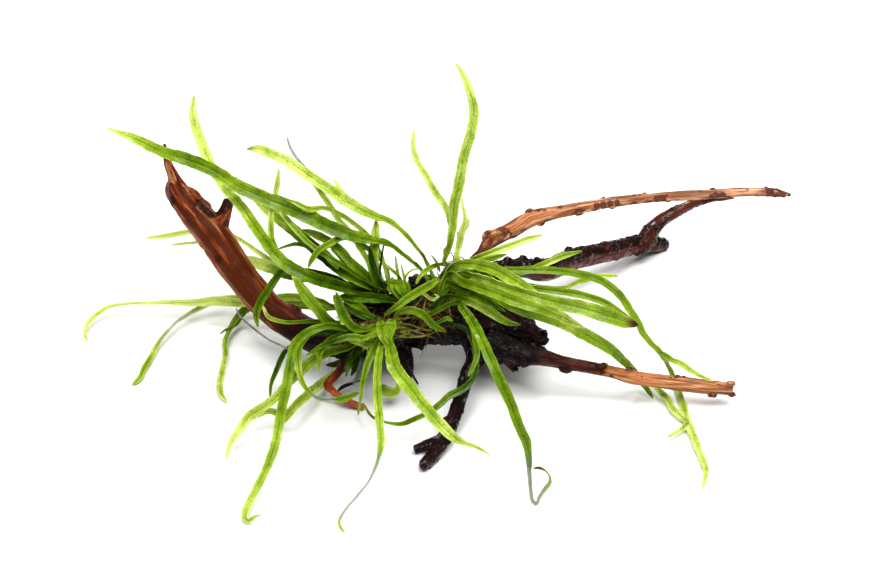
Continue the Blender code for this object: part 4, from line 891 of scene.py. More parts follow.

# How bright each frond is at even steps from base to tip, from 0, dark green, to 1, pale yellow. This is
# partly the frond's own colour from old to young and partly painted light and shade: lighter where it is lit
# through from behind, darker in the shaded middle of the clump
FROND_TONES_LIGHT_AND_SHADE = {
    "frond_left_01": (0.46, 1.08, 0.98),
    "frond_left_02": (0.42, 1.0, 0.76),
    "frond_left_03": (0.4, 0.6, 0.96),
    "frond_left_04": (0.5, 0.5, 0.4, 1.0, 1.2),
    "frond_left_05": (0.34, 1.04, 1.1),
    "frond_left_06": (0.26, 0.14, 0.18, 0.42, 0.48),
    "frond_left_07": (0.56, 0.4, 0.1, 0.5, 1.04),
    "frond_left_08": (0.4, 0.42, 0.74, 0.96, 1.04),
    "frond_left_09": (1.0, 0.6, 0.1, 0.72, 0.98),
    "frond_left_10": (1.1, 1.12, 0.9, 0.6, 0.68),
    "frond_left_11": (0.4, 0.38, 0.6, 0.98, 1.2),
    "frond_left_12": (0.76, 1.0, 0.5, 0.6, 0.7),
    "frond_left_13": (1.1, 1.04, 1.0, 0.8, 0.5),
    "frond_left_14": (0.82, 1.0, 1.1, 0.82, 0.86),
    "frond_left_15": (0.56, 1.04, 0.84, 0.86, 0.7),
    "frond_left_16": (0.6, 0.52, 0.5, 0.66, 0.58, 1.1),
    "frond_left_17": (0.54, 0.62, 0.84, 0.96, 1.02),
    "frond_front_01": (0.34, 0.48, 0.36, 0.76, 1.2),
    "frond_front_02": (0.0, 0.42, 0.88),
    "frond_front_03": (0.26, 0.66, 0.96),
    "frond_front_04": (0.04, 0.2, 0.84, 0.54, 0.6),
    "frond_front_05": (0.2, 0.0, 0.18, 0.58, 0.68),
    "frond_front_06": (0.36, 0.76, 1.12),
    "frond_front_07": (0.24, 0.72, 0.54, 0.32, 0.64),
    "frond_front_08": (0.8, 0.86, 0.92, 0.84, 0.76),
    "frond_front_09": (0.5, 0.56, 0.46),
    "frond_front_10": (0.34, 0.38, 0.62, 0.66, 0.6),
    "frond_front_11": (0.5, 0.84, 0.76),
    "frond_front_12": (0.16, 0.52, 0.72, 0.86, 1.06),
    "frond_front_13": (0.74, 0.62, 0.36),
    "frond_right_01": (0.0, 0.24, 0.46, 0.58, 0.56),
    "frond_right_02": (0.38, 0.56, 0.56, 0.6, 0.74),
    "frond_right_03": (0.0, 0.3, 0.84, 0.84, 0.5),
    "frond_right_04": (0.4, 0.52, 0.84, 0.56, 0.6),
    "frond_right_05": (0.52, 0.6, 0.74),
    "frond_right_06": (1.0, 0.76, 0.74, 0.86, 1.0),
    "frond_right_07": (0.92, 0.8, 0.84, 0.68, 0.7),
    "frond_right_08": (0.78, 0.66, 0.56, 0.68, 0.6),
    "frond_right_09": (0.44, 0.22, 0.62, 0.84, 0.92),
    "frond_right_10": (0.44, 0.62, 0.68, 0.72, 0.92, 0.96),
    "frond_right_11": (0.06, 0.18, 0.4, 0.86, 0.68),
    "frond_right_12": (0.74, 0.82, 0.92, 0.92, 1.1),
    "frond_right_13": (0.8, 1.15, 1.2),
    "frond_right_14": (0.6, 0.94, 1.1),
    "frond_right_15": (0.38, 0.7, 0.68, 0.6, 0.36),
}

# Fronds whose stalk is narrow where it leaves the rhizome: its width as a share of the others'
SLENDER = {"frond_right_01": 0.2, "frond_right_02": 0.3}

# Where a frond has turned brown: the share of its length at which the brown starts
BROWN_ENDS = {"frond_right_07": 0.955, "frond_right_02": 0.97, "frond_left_17": 0.985}

# Where a frond shows a painted grey sheen of wet film: between which shares of its length, and how strong it
# is
SHEEN_SPANS = {
    "frond_left_13": (0.84, 1.1, 0.9),
    "frond_left_02": (0.6, 0.78, 0.6),
    "frond_right_02": (0.74, 0.92, 0.6),
    "frond_front_11": (0.68, 0.94, 0.8),
    "frond_front_04": (0.66, 0.8, 0.7),
    "shoots_left_0": (0.1, 1.1, 1.0),
    "shoots_front_1": (0.3, 1.1, 0.3),
}

# Fronds with dark marks along their middle
MOTTLED = {
    "frond_left_04", "frond_left_07", "frond_left_08", "frond_left_11", "frond_left_13", "frond_left_17",
    "frond_right_12", "frond_right_13", "frond_front_06", "frond_front_09",
}

# The dull floor
FLOOR_ROUGHNESS = 0.9
FLOOR_SHINE = 0.1

# Soft lamps: name, place, share of the power, and shares of the size along and across
LAMPS = (
    ("front_lamp", (0.08, -0.42, 1.16), 1.0, 1.0, 0.75),
    ("rear_lamp", (0.15, 0.7, 0.8), 0.1, 0.16, 0.16),
)


# Placing

def unit(vectors):
    """The vectors' directions, each of length 1."""
    return vectors / np.linalg.norm(vectors, axis=-1, keepdims=True)


def walked_along(line):
    """How far along a line each of its points lies."""
    steps = np.linalg.norm(np.diff(line[:, :3], axis=0), axis=1)
    return np.concatenate(([0.0], np.cumsum(steps)))


def nearest_sample(line, point):
    """Which of a line's points lies nearest to a point."""
    return int(np.argmin(np.linalg.norm(line[:, :3] - point[:3], axis=1)))


def sight_axes():
    """The camera's place and its forward, right and up directions."""
    cos_e = math.cos(VIEW_ELEVATION)
    sin_e = math.sin(VIEW_ELEVATION)
    forward = np.array((0.0, cos_e, -sin_e))
    right = np.array((1.0, 0.0, 0.0))
    up = np.array((0.0, sin_e, cos_e))
    return AIM_POINT - VIEW_DISTANCE * forward, forward, right, up


def sight_ray(column, row):
    """The way from the camera through a place in the photograph."""
    _, forward, right, up = sight_axes()
    across = (column - PHOTO_CENTRE[0]) * PIXEL / VIEW_DISTANCE
    above = (PHOTO_CENTRE[1] - row) * PIXEL / VIEW_DISTANCE
    return forward + across * right + above * up


def placed(route):
    """A route's points in space: rows of x, y, z and size, in metres."""
    eye = sight_axes()[0]
    rows = []
    for column, row, height, size in route:
        ray = sight_ray(column, row)
        reach = (eye[2] - height * MM) / -ray[2]
        rows.append([*(eye + ray * reach), size * MM * reach / VIEW_DISTANCE])
    return np.array(rows)


def smooth(rows, step):
    """Rows read from a smooth curve through the given rows, about a step apart."""
    knots = walked_along(rows)
    slopes = np.gradient(rows, knots, axis=0)
    at = np.linspace(0.0, knots[-1], max(FEWEST_SAMPLES, round(knots[-1] / step) + 1))
    left = np.clip(np.searchsorted(knots, at, side="right") - 1, 0, len(rows) - 2)
    span = (knots[left + 1] - knots[left])[:, None]
    u = (at[:, None] - knots[left][:, None]) / span
    return (
        (2 * u**3 - 3 * u**2 + 1) * rows[left]
        + (u**3 - 2 * u**2 + u) * span * slopes[left]
        + (3 * u**2 - 2 * u**3) * rows[left + 1]
        + (u**3 - u**2) * span * slopes[left + 1]
    )


def sight_at(points):
    """Unit directions from the eye to the points."""
    return unit(points - sight_axes()[0])


# Spreading the fronds

class Chain:
    """A blade's or lobe's centre line, in samples, with where it hangs on its frond."""

    def __init__(self, frond, rows, stem=None, joint=0):
        self.frond = frond
        self.rows = rows
        self.stem = stem
        self.joint = joint
        self.start = 0


def frond_chains():
    """Every blade and lobe as a chain of samples that starts on its rhizome or its blade."""
    chains = []
    for rhizome, fronds in FRONDS.items():
        axis = smooth(placed(RHIZOMES[rhizome]), AXIS_STEP)
        for order, (name, routes) in enumerate(fronds.items()):
            root = axis[round((order + 0.5) / len(fronds) * (len(axis) - 1))].copy()
            root[3] = STALK_WIDTH
            blade = smooth(np.vstack((root, placed(routes[0]))), SAMPLE_STEP)
            stem = Chain(name, blade)
            chains.append(stem)
            for route in routes[1:]:
                lobe = placed(route)
                joint = nearest_sample(blade, lobe[0])
                lobe[0, :3] = blade[joint, :3]
                chains.append(Chain(name, smooth(lobe, SAMPLE_STEP), stem, joint))
    return chains


def wood_samples():
    """The wood's and the rhizomes' centre lines: rows of x, y, z and diameter, close together."""
    routes = [*LIMBS.values(), *RHIZOMES.values()]
    for stubs in STUBS.values():
        routes += stubs
    return np.vstack([smooth(placed(route), SAMPLE_STEP) for route in routes])


def seen_apart(rows, others, sight):
    """How far each row lies behind each of the others along its line of sight, and how far beside it."""
    away = rows[:, None, :3] - others[None, :, :3]
    depth = np.einsum("ijk,ik->ij", away, sight)
    return depth, np.sqrt(np.maximum(np.einsum("ijk,ijk->ij", away, away) - depth**2, 0.0))


def crossing_pairs(rows, owner, sight, free):
    """Pairs of samples of two fronds that cover each other in the photograph, and the depth between them."""
    depth, aside = seen_apart(rows, rows, sight)
    reach = (rows[:, None, 3] + rows[None, :, 3]) / 2 * TOUCH_SHARE + CLEARANCE
    apart = owner[:, None] != owner[None, :]
    loose = free[:, None] | free[None, :]
    first, second = np.nonzero(np.triu(apart & loose & (aside < reach), 1))
    return first, second, depth[first, second]


def agreed_sides(first, second, depth, owner, along):
    """One side for each crossing: which of the two fronds is the nearer, from all its pairs together."""
    sides = np.empty(len(depth))
    order = np.lexsort((along[first], owner[second], owner[first]))
    new_pair = (np.diff(owner[first][order]) != 0) | (np.diff(owner[second][order]) != 0)
    breaks = new_pair | (np.diff(along[first][order]) > CROSSING_BREAK)
    for run in np.split(order, np.nonzero(breaks)[0] + 1):
        sides[run] = 1.0 if np.sum(depth[run]) > 0 else -1.0
    return sides


def wood_gaps(rows, sight, free):
    """Samples of the fronds that pass over or behind a sample of the wood: their numbers, depth and need."""
    wood = wood_samples()
    depth, aside = seen_apart(rows, wood, sight)
    clear = np.maximum(aside - rows[:, None, 3] / 2, 0.0)
    half = wood[None, :, 3] / 2 * (1 + WOOD_LUMPS) + BLADE_THICKNESS / 2 + CLEARANCE
    need = np.sqrt(np.maximum(half**2 - clear**2, 0.0))
    sample, piece = np.nonzero((need > 0) & free[:, None])
    return sample, depth[sample, piece], need[sample, piece]


def calmed(chains, offset):
    """The offsets evened out along each chain, with its start held to its rhizome or its blade."""
    for chain in chains:
        part = slice(chain.start, chain.start + len(chain.rows))
        own = offset[part]
        if chain.stem:
            own[0] = offset[chain.stem.start + chain.joint]
        else:
            own[0] = np.clip(own[1], -ROOT_PLAY, ROOT_PLAY)
        calm = own.copy()
        calm[1:-1] = own[1:-1] * OWN_SHARE + (own[:-2] + own[2:]) * (1 - OWN_SHARE) / 2
        offset[part] = calm
    return offset


def spread(chains):
    """Moves each sample along its line of sight until no frond touches another, the wood or the table."""
    start = 0
    for chain in chains:
        chain.start = start
        start += len(chain.rows)
    rows = np.vstack([chain.rows for chain in chains])
    names = {name: index for index, name in enumerate(dict.fromkeys(chain.frond for chain in chains))}
    owner = np.concatenate([np.full(len(chain.rows), names[chain.frond]) for chain in chains])
    along = np.concatenate([np.arange(len(chain.rows)) for chain in chains])
    free = np.concatenate([
        (np.arange(len(chain.rows)) >= FREE_LENGTH) | (chain.stem is not None) for chain in chains
    ])
    sight = sight_at(rows[:, :3])
    first, second, depth = crossing_pairs(rows, owner, sight, free)
    sides = agreed_sides(first, second, depth, owner, along)
    need = BLADE_THICKNESS + CLEARANCE
    sample, wood_depth, wood_need = wood_gaps(rows, sight, free)
    wood_side = np.where(wood_depth > 0, 1.0, -1.0)
    rise = -sight[:, 2]
    lowest = rows[:, 3] / 2 * LYING_SHARE + BLADE_THICKNESS / 2 + GAP
    offset = np.zeros(len(rows))
    for _ in range(SPREAD_SWEEPS):
        push = np.zeros(len(rows))
        count = np.ones(len(rows))
        short = np.maximum(need - (depth + offset[first] - offset[second]) * sides, 0.0) / 2
        wood_short = np.maximum(wood_need - (wood_depth + offset[sample]) * wood_side, 0.0)
        aside = short * sides
        for index, step in ((first, aside), (second, -aside), (sample, wood_short * wood_side)):
            np.add.at(push, index, step)
            np.add.at(count, index, (step != 0).astype(float))
        offset = calmed(chains, offset + SPREAD_PACE * push / count)
        floor = rows[:, 2] - offset * rise
        offset -= np.where(floor < lowest, (lowest - floor) / rise, 0.0)
    moved = rows.copy()
    moved[:, :3] += sight * offset[:, None]
    for chain in chains:
        chain.rows = moved[chain.start:chain.start + len(chain.rows)]


# Modelling

def only(piece):
    """Selects one object alone and makes it the active one."""
    bpy.ops.object.select_all(action="DESELECT")
    piece.select_set(True)
    bpy.context.view_layer.objects.active = piece


def coordinates(piece):
    """The places of a piece's points, one row each."""
    values = np.empty(len(piece.data.vertices) * 3)
    piece.data.vertices.foreach_get("co", values)
    return values.reshape(-1, 3)


def point_normals(piece):
    """The way out of the surface at each of a piece's points."""
    values = np.empty(len(piece.data.vertices) * 3, dtype=np.float32)
    piece.data.vertex_normals.foreach_get("vector", values)
    return values.reshape(-1, 3)


def place(piece, points):
    """Puts each point of a piece at its new place."""
    piece.data.vertices.foreach_set("co", np.ascontiguousarray(points, dtype=np.float64).ravel())
    piece.data.update()


def attribute(piece, name, values):
    """Keeps a number or a vector at each point, for the materials."""
    values = np.asarray(values, dtype=np.float32)
    kind, field = ("FLOAT_VECTOR", "vector") if values.ndim == 2 else ("FLOAT", "value")
    layer = piece.data.attributes.new(name, kind, "POINT")
    layer.data.foreach_set(field, values.ravel())


def swept(name, rings):
    """A closed skin through rings of points: a filled circle is extruded from ring to ring."""
    bpy.ops.object.select_all(action="DESELECT")
    bpy.ops.mesh.primitive_circle_add(vertices=len(rings[0]), radius=MM, fill_type="NGON")
    piece = bpy.context.object
    piece.name = name
    piece.data.name = name
    bpy.ops.object.mode_set(mode="EDIT")
    bpy.ops.mesh.select_all(action="SELECT")
    bm = bmesh.from_edit_mesh(piece.data)
    for vert, point in zip(bm.verts, rings[0]):
        vert.co = point
    for near, far in zip(rings, rings[1:]):
        bpy.ops.mesh.extrude_region_move()
        bm = bmesh.from_edit_mesh(piece.data)
        chosen = [vert for vert in bm.verts if vert.select]
        here = np.array([vert.co for vert in chosen])
        nearest = np.argmin(np.sum((here[:, None] - near[None]) ** 2, axis=2), axis=1)
        for vert, index in zip(chosen, nearest):
            vert.co = far[index]
        bmesh.update_edit_mesh(piece.data)
    bpy.ops.mesh.select_all(action="SELECT")
    bpy.ops.mesh.normals_make_consistent(inside=False)
    bpy.ops.object.mode_set(mode="OBJECT")
    return piece


def joined(name, pieces):
    """Several objects made one."""
    only(pieces[0])
    for piece in pieces[1:]:
        piece.select_set(True)
    if len(pieces) > 1:
        bpy.ops.object.join()
    pieces[0].name = name
    pieces[0].data.name = name
    return pieces[0]


def modified(piece, kind, **values):
    """Adds a modifier with these values and applies it."""
    only(piece)
    modifier = piece.modifiers.new(kind.title(), kind)
    for key, value in values.items():
        setattr(modifier, key, value)
    bpy.ops.object.modifier_apply(modifier=modifier.name)


def one_skin(name, parts, cell, rounds):
    """Parts that overlap, grown into one skin with cells of this size and smoothed so many times."""
    piece = joined(name, parts)
    piece.data.remesh_voxel_size = cell
    bpy.ops.object.voxel_remesh()
    modified(piece, "SMOOTH", factor=SMOOTH_SHARE, iterations=rounds)
    return piece


def shaded(piece):
    """The same piece, shaded as a smooth surface."""
    only(piece)
    bpy.ops.object.shade_smooth()
    return piece


def axes_along(points):
    """Directions ahead, across and over at each point of a line, turning as little as they can."""
    ahead = unit(np.gradient(points, axis=0))
    across = np.empty_like(ahead)
    way = np.array(Vector(ahead[0]).orthogonal().normalized())
    for index, direction in enumerate(ahead):
        way = unit(way - direction * np.dot(way, direction))
        across[index] = way
    return ahead, across, np.cross(ahead, across)


def tube_rings(rows, sides, lumps=0.0, ends=(DOMED, DOMED)):
    """Round rings along a line of x, y, z and diameter, with domed ends and smooth lumps."""
    points = rows[:, :3]
    ahead, across, over = axes_along(points)
    angles = np.linspace(0.0, 2 * math.pi, sides, endpoint=False)
    circle = across[:, None] * np.cos(angles)[None, :, None] + over[:, None] * np.sin(angles)[None, :, None]
    radii = np.repeat(rows[:, 3, None] / 2, sides, axis=1)
    for i, point in enumerate(points):
        for j in range(sides):
            spot = Vector(point + circle[i, j] * radii[i, j]) / LUMP_SIZE
            radii[i, j] *= 1 + lumps * noise.noise(spot)
    caps = []
    for end, way, rise in ((0, -1, ends[0]), (-1, 1, ends[1])):
        top = way * ahead[end] * rise
        rim = circle[end] * radii[end, :, None]
        caps.append([
            points[end] + top * far * rows[end, 3] / 2 + rim * size
            for size, far in zip(DOME_RADII, np.sqrt(1 - DOME_RADII**2))
        ])
    return caps[0][::-1] + list(points[:, None] + circle * radii[:, :, None]) + caps[1]


def plain_rings(points, sizes, sides, flat=1.0):
    """Plain rings of these diameters along a line, flattened by a share."""
    _, across, over = axes_along(points)
    angles = np.arange(sides) * 2 * math.pi / sides
    circle = across[:, None] * np.cos(angles)[:, None] + flat * over[:, None] * np.sin(angles)[:, None]
    return points[:, None] + sizes[:, None, None] / 2 * circle


def tube_template(count, sides):
    """A plain tube of so many rings, modelled once for its copies, and the order of its points."""
    angles = np.arange(sides) * 2 * math.pi / sides
    circle = np.stack((np.cos(angles), np.sin(angles), np.zeros(sides)), axis=1)
    rings = [circle + (0, 0, level) for level in range(count)]
    piece = swept("tube", rings)
    flat = np.concatenate(rings)
    order = [int(np.argmin(np.sum((flat - point) ** 2, axis=1))) for point in coordinates(piece)]
    return piece, order


def copied_tube(template, order, rings):
    """A copy of the plain tube with its own mesh, laid through new rings."""
    piece = template.copy()
    piece.data = template.data.copy()
    bpy.context.collection.objects.link(piece)
    place(piece, np.concatenate(rings)[order])
    return piece


def cell_noise(points, cells, shift=(0, 0, 0)):
    """Smooth noise at each point, in cells of this size."""
    return np.array([noise.noise(Vector(point)) for point in points / np.array(cells) + np.array(shift)])


def weighed(shares, first, second):
    """A base and the shares of two noises, summed."""
    return shares[0] + shares[1] * first + shares[2] * second


def scatter(rng, *sizes):
    """A random step, about so far along each axis."""
    return np.array([rng.gauss(0, size) for size in sizes])


def smoothstep(low, high, value):
    """0 below the low value, 1 above the high one, and a smooth rise between them."""
    part = np.clip((value - low) / (high - low), 0.0, 1.0)
    return part * part * (3 - 2 * part)


def seeded(name, seed=0):
    """Random numbers that are the same at each run and differ from name to name."""
    return random.Random(seed + sum(map(ord, name)))


# Wood

def limb_line(route, step):
    """A limb's centre line in the row frame."""
    rows = smooth(placed(route), step)
    rows[:, :3] += TO_ORIGIN
    return rows


def flared(rows):
    """A limb's line with its base widened where it leaves other wood."""
    rows = rows.copy()
    rows[:, 3] *= 1 + FLARE * np.exp(-walked_along(rows) / FLARE_REACH)
    return rows


def on_sight(column, row, line):
    """Where a line of sight of the photograph passes nearest to a limb, and the limb's sample there."""
    ray = unit(sight_ray(column, row))
    eye = sight_axes()[0] + TO_ORIGIN
    away = line[:, :3] - eye
    reach = away @ ray
    near = int(np.argmin(np.linalg.norm(away - reach[:, None] * ray, axis=1)))
    return eye + ray * reach[near], near


def knob(name, centre, size, ahead, rng):
    """A small uneven swelling, longer along the wood than across it."""
    bpy.ops.object.select_all(action="DESELECT")
    bpy.ops.mesh.primitive_ico_sphere_add(subdivisions=3, radius=size / 2)
    piece = bpy.context.object
    piece.name = name
    points = coordinates(piece)
    shift = Vector((rng.uniform(-9, 9), rng.uniform(-9, 9), rng.uniform(-9, 9)))
    swell = [1 + KNOB_LUMPS * noise.noise(Vector(point) / size * KNOB_CELLS + shift) for point in points]
    points = points * np.array(swell)[:, None]
    points += np.outer(points @ ahead, ahead) * KNOB_STRETCH
    place(piece, points + centre)
    return piece


def knob_seat(column, row, size, line):
    """Where a knob sits on its limb, no further out than the limb's surface, and the grain's way there."""
    spot, near = on_sight(column, row, line)
    axis = line[near, :3]
    away = spot - axis
    distance = max(np.linalg.norm(away), TINY)
    reach = line[near, 3] / 2 - KNOB_SUNK * size
    centre = axis + away / distance * min(distance, reach)
    if size < SMALL_KNOB and distance < reach:
        centre = centre + sight_at(centre - TO_ORIGIN) * -math.sqrt(reach**2 - distance**2)
    return centre, unit(line[min(near + 1, len(line) - 1), :3] - line[max(near - 1, 0), :3])


def shards(line, rng):
    """Torn bark and broken rootlets that stand off the hub."""
    template, order = tube_template(len(SHARD_SHAPE), SHARD_SIDES)
    parts, sizes = np.array(SHARD_SHAPE).T
    pieces = []
    for _ in range(SHARD_COUNT):
        index = rng.randrange(3, len(line) - 3)
        ahead = unit(line[index + 1, :3] - line[index - 1, :3])
        out = scatter(rng, 1, 1, 1)
        out = unit(out - ahead * np.dot(out, ahead))
        way = unit(out + ahead * rng.uniform(-SHARD_LEAN, SHARD_LEAN))
        base = line[index, :3] + out * line[index, 3] / 2 * SHARD_SEAT
        length = rng.uniform(*SHARD_LENGTHS)
        bend = scatter(rng, *SHARD_BEND) * length
        thick = rng.uniform(*SHARD_SIZES)
        route = base + parts[:, None] * way * length + (parts**2)[:, None] * bend
        rings = plain_rings(route, thick * sizes, SHARD_SIDES, rng.uniform(*SHARD_FLATNESS))
        pieces.append(copied_tube(template, order, rings))
    bpy.data.objects.remove(template)
    return pieces


def straightened(points, lines, starts):
    """Each point in its limb's own straightened space, across, over and along, with the limb's radius."""
    best = np.full(len(points), np.inf)
    result = np.empty((len(points), 4))
    for line, begins in zip(lines, starts):
        ahead, across, over = axes_along(line[:, :3])
        walked = begins + walked_along(line)
        for start in range(0, len(points), BATCH):
            part = slice(start, min(start + BATCH, len(points)))
            away = points[part, None] - line[None, :, :3]
            score = np.linalg.norm(away, axis=2) - line[None, :, 3] / 2
            near = np.argmin(score, axis=1)
            rows = np.arange(len(near))
            step = away[rows, near]
            found = np.stack((
                np.sum(step * across[near], axis=1),
                np.sum(step * over[near], axis=1),
                walked[near] + np.sum(step * ahead[near], axis=1),
                line[near, 3] / 2,
            ), axis=1)
            closer = score[rows, near] < best[part]
            result[part][closer] = found[closer]
            best[part][closer] = score[rows, near][closer]
    return result


def carve(piece, lines, starts, knots_stains_and_shade, look, wood):
    """Ridges, bark and pits along the grain of a limb, pressed into its skin and kept for its material, with
    its dark knots and patches, some of them painted edge shade, and the hollows, which the material paints
    with shade.
    """
    points = coordinates(piece)
    normals = point_normals(piece)
    grain = straightened(points, lines, starts)
    facet = cell_noise(grain[:, :3], FACET_CELL, FACET_SHIFT)
    ridge = np.abs(cell_noise(grain[:, :3], RIDGE_CELL))
    patch = cell_noise(grain[:, :3], BARK_CELL, BARK_SHIFT)
    crumb = cell_noise(points, CRUMB_CELL)
    fine = cell_noise(points, FINE_CELL)
    share = look["bark"] * wood.bark_share
    bark = smoothstep(*BARK_EDGE, weighed(BARK_KEPT, patch, crumb) + BARK_GAIN * share) * (share > 0)
    if look["bark_on_top"]:
        bark = bark * smoothstep(*UPPER_SIDE, normals[:, 2])
    height = wood.facet_height * look["facets"] * facet
    height += wood.ridge_height * look["ridges"] * weighed(RIDGE_RISE, ridge, fine)
    height += wood.bark_height * look["bark_rise"] * bark * weighed(BARK_RISE, crumb, fine)
    height *= np.clip(grain[:, 3] / FULL_RELIEF_RADIUS, LEAST_RELIEF, 1.0)
    # Knots and patches darken the bark mark round them; some patches are painted shade along shaded edges.
    for centre, size, dark in knots_stains_and_shade:
        near = np.exp(-(np.linalg.norm(points - centre, axis=1) / (DARK_REACH * size)) ** 4)
        bark = np.maximum(bark, dark * near)
    points += normals * height[:, None]
    points[:, 2] = np.maximum(points[:, 2], 0.0)
    place(piece, points)
    attribute(piece, "grain", grain[:, :3])
    attribute(piece, "bark", bark)
    # The relief marks the hollows, which the material paints with shade.
    attribute(piece, "relief", np.clip(weighed(SHALLOWNESS, ridge, crumb * bark), 0.0, 1.0))


def grow_limb(name, wood):
    """One limb with its stubs and knobs, grown into a single skin and carved, and its length."""
    rng = seeded(name)
    look = WOOD_LOOKS[name]
    line = limb_line(LIMBS[name], LIMB_STEP)
    if name != "wood_hub":
        line = flared(line)
    ends = (DOMED, CUT_ENDS.get(name, DOMED))
    parts = [swept(f"{name}_skin", tube_rings(line, LIMB_SIDES, WOOD_LUMPS, ends))]
    lines = [line]
    starts = [0.0]
    for number, route in enumerate(STUBS.get(name, [])):
        stub = limb_line(route, LIMB_STEP)
        parts.append(swept(f"{name}_stub_{number}", tube_rings(stub, STUB_SIDES, WOOD_LUMPS, ends)))
        lines.append(stub)
        starts.append(walked_along(line)[nearest_sample(line, stub[0])])
    knots_stains_and_shade = []
    for number, (column, row, size, dark) in enumerate(KNOBS.get(name, [])):
        centre, ahead = knob_seat(column, row, size * MM, line)
        parts.append(knob(f"{name}_knob_{number}", centre, size * MM, ahead, rng))
        knots_stains_and_shade.append((centre, size * MM, dark))
    # Patches: stains, and painted shade along the shaded edges of some limbs.
    for column, row, size, dark in STAINS_AND_EDGE_SHADE.get(name, []):
        centre, _ = knob_seat(column, row, size * MM, np.vstack(lines))
        knots_stains_and_shade.append((centre, size * MM, dark))
    if name == "wood_hub":
        parts += stems(f"{name}_spur", SPURS, WOOD_LUMPS)
        parts += shards(line, rng)
    piece = one_skin(f"{name}_skin", parts, look["skin"] * wood.skin_cell, look["smooth"])
    carve(piece, lines, starts, knots_stains_and_shade, look, wood)
    return shaded(piece), walked_along(line)[-1]


# Rhizomes and roots

def skin_spot(line, index, axes, angle):
    """A place just under the skin of a line at an angle round it, and the way out there."""
    _, across, over = axes
    out = across[index] * math.cos(angle) + over[index] * math.sin(angle)
    return line[index, :3] + out * line[index, 3] / 2 * UNDER_SKIN, out


def grow_rhizome(name, settings):
    """A creeping rhizome: a lumpy rod with the scars of old stalks, pressed into its skin."""
    rng = seeded(name)
    line = limb_line(RHIZOMES[name], RHIZOME_STEP)
    parts = [swept(f"{name}_skin", tube_rings(line, LIMB_SIDES, RHIZOME_LUMPS, (RHIZOME_END, RHIZOME_END)))]
    axes = axes_along(line[:, :3])
    for number in range(settings.scar_count):
        index = rng.randrange(1, len(line) - 1)
        centre, out = skin_spot(line, index, axes, rng.uniform(0, 2 * math.pi))
        parts.append(knob(f"{name}_scar_{number}", centre, rng.uniform(*SCAR_SIZES), out, rng))
    piece = one_skin(f"{name}_skin", parts, RHIZOME_CELL, 2)
    points = coordinates(piece)
    scale = cell_noise(points, SCALE_CELL) + 0.6 * cell_noise(points, SCALE_CELL / 2)
    place(piece, points + point_normals(piece) * (scale * settings.scale_height)[:, None])
    # The relief marks the hollows of the skin, which the material paints with shade.
    attribute(piece, "relief", np.clip(0.5 + 0.5 * scale, 0.0, 1.0))
    return shaded(piece)


def wood_surface(pieces):
    """One tree of the wood's faces, which the fine roots creep over."""
    verts = []
    faces = []
    for piece in pieces:
        start = len(verts)
        verts += [vert.co.copy() for vert in piece.data.vertices]
        faces += [tuple(start + index for index in face.vertices) for face in piece.data.polygons]
    return BVHTree.FromPolygons(verts, faces)


def creeping_route(start, way, length, surface, lift, rng):
    """A route that leaves its start, comes down on the wood and creeps along it."""
    step = length / (ROOT_RINGS - 1)
    spot = Vector(start)
    way = Vector(way)
    route = [spot.copy()]
    for _ in range(ROOT_RINGS - 1):
        way = way + Vector(scatter(rng, *ROOT_WANDER) + ROOT_DROP)
        way.normalize()
        ahead = spot + way * step
        found, normal, _, distance = surface.find_nearest(ahead)
        inside = (ahead - found).dot(normal) < 0
        if inside or distance < step * LANDING_STEPS:
            ahead = found + normal * lift
        ahead.z = max(ahead.z, lift)
        way = (ahead - spot).normalized() if (ahead - spot).length > STANDSTILL else way
        spot = ahead
        route.append(spot.copy())
    return np.array(route)


def grow_roots(name, surface, settings):
    """The fine roots and hairs of one rhizome, and the thicker ones that hold it to the wood."""
    rng = seeded(name, ROOT_SEED)
    line = limb_line(RHIZOMES[name], RHIZOME_STEP)
    axes = axes_along(line[:, :3])
    ahead, across, _ = axes
    routes = []
    for _ in range(ROOT_COUNTS[name]):
        index = rng.randrange(len(line))
        start, out = skin_spot(line, index, axes, rng.uniform(0, 2 * math.pi))
        way = unit(out + ahead[index] * rng.uniform(-ROOT_SLANT, ROOT_SLANT) + ROOT_LEAN)
        length = rng.uniform(*ROOT_LENGTHS) * settings.root_length
        thick = rng.uniform(*ROOT_SIZES) * settings.root_thickness
        routes.append((creeping_route(start, way, length, surface, thick * ROOT_LIFT, rng), thick))
    for _ in range(HOLD_COUNTS[name]):
        index = rng.randrange(len(line))
        beside = across[index] * line[index, 3] * rng.uniform(-HOLD_SEAT, HOLD_SEAT)
        start = Vector(line[index, :3] + beside)
        found, normal, _, distance = surface.find_nearest(start)
        if distance < HOLD_REACH:
            drift = Vector((*scatter(rng, HOLD_SPREAD, HOLD_SPREAD), -HOLD_DEPTH / 2))
            end = found - normal * HOLD_DEPTH + drift
            bow = Vector(scatter(rng, *HOLD_BOW)) * distance
            steps = np.linspace(0, 1, ROOT_RINGS)
            route = np.array([start.lerp(end, step) + bow * math.sin(math.pi * step) for step in steps])
            routes.append((route, rng.uniform(*HOLD_SIZES)))
    template, order = tube_template(ROOT_RINGS, ROOT_SIDES)
    taper = np.linspace(1.0, ROOT_TAPER, ROOT_RINGS)
    pieces = [
        copied_tube(template, order, plain_rings(route, thick * taper, ROOT_SIDES))
        for route, thick in routes
    ]
    bpy.data.objects.remove(template)
    return shaded(joined(f"fine_roots_{name.removeprefix('rhizome_')}", pieces))


def stems(name, routes, lumps):
    """Thin stems, one on each route."""
    return [
        swept(f"{name}_{number}", tube_rings(limb_line(route, STEM_STEP), STEM_SIDES, lumps))
        for number, route in enumerate(routes)
    ]


def grow_stems(name, routes):
    """Bare rootlets, or bare stalks, on their own routes."""
    return shaded(joined(name, stems(name, routes, STEM_LUMPS)))


# Fronds

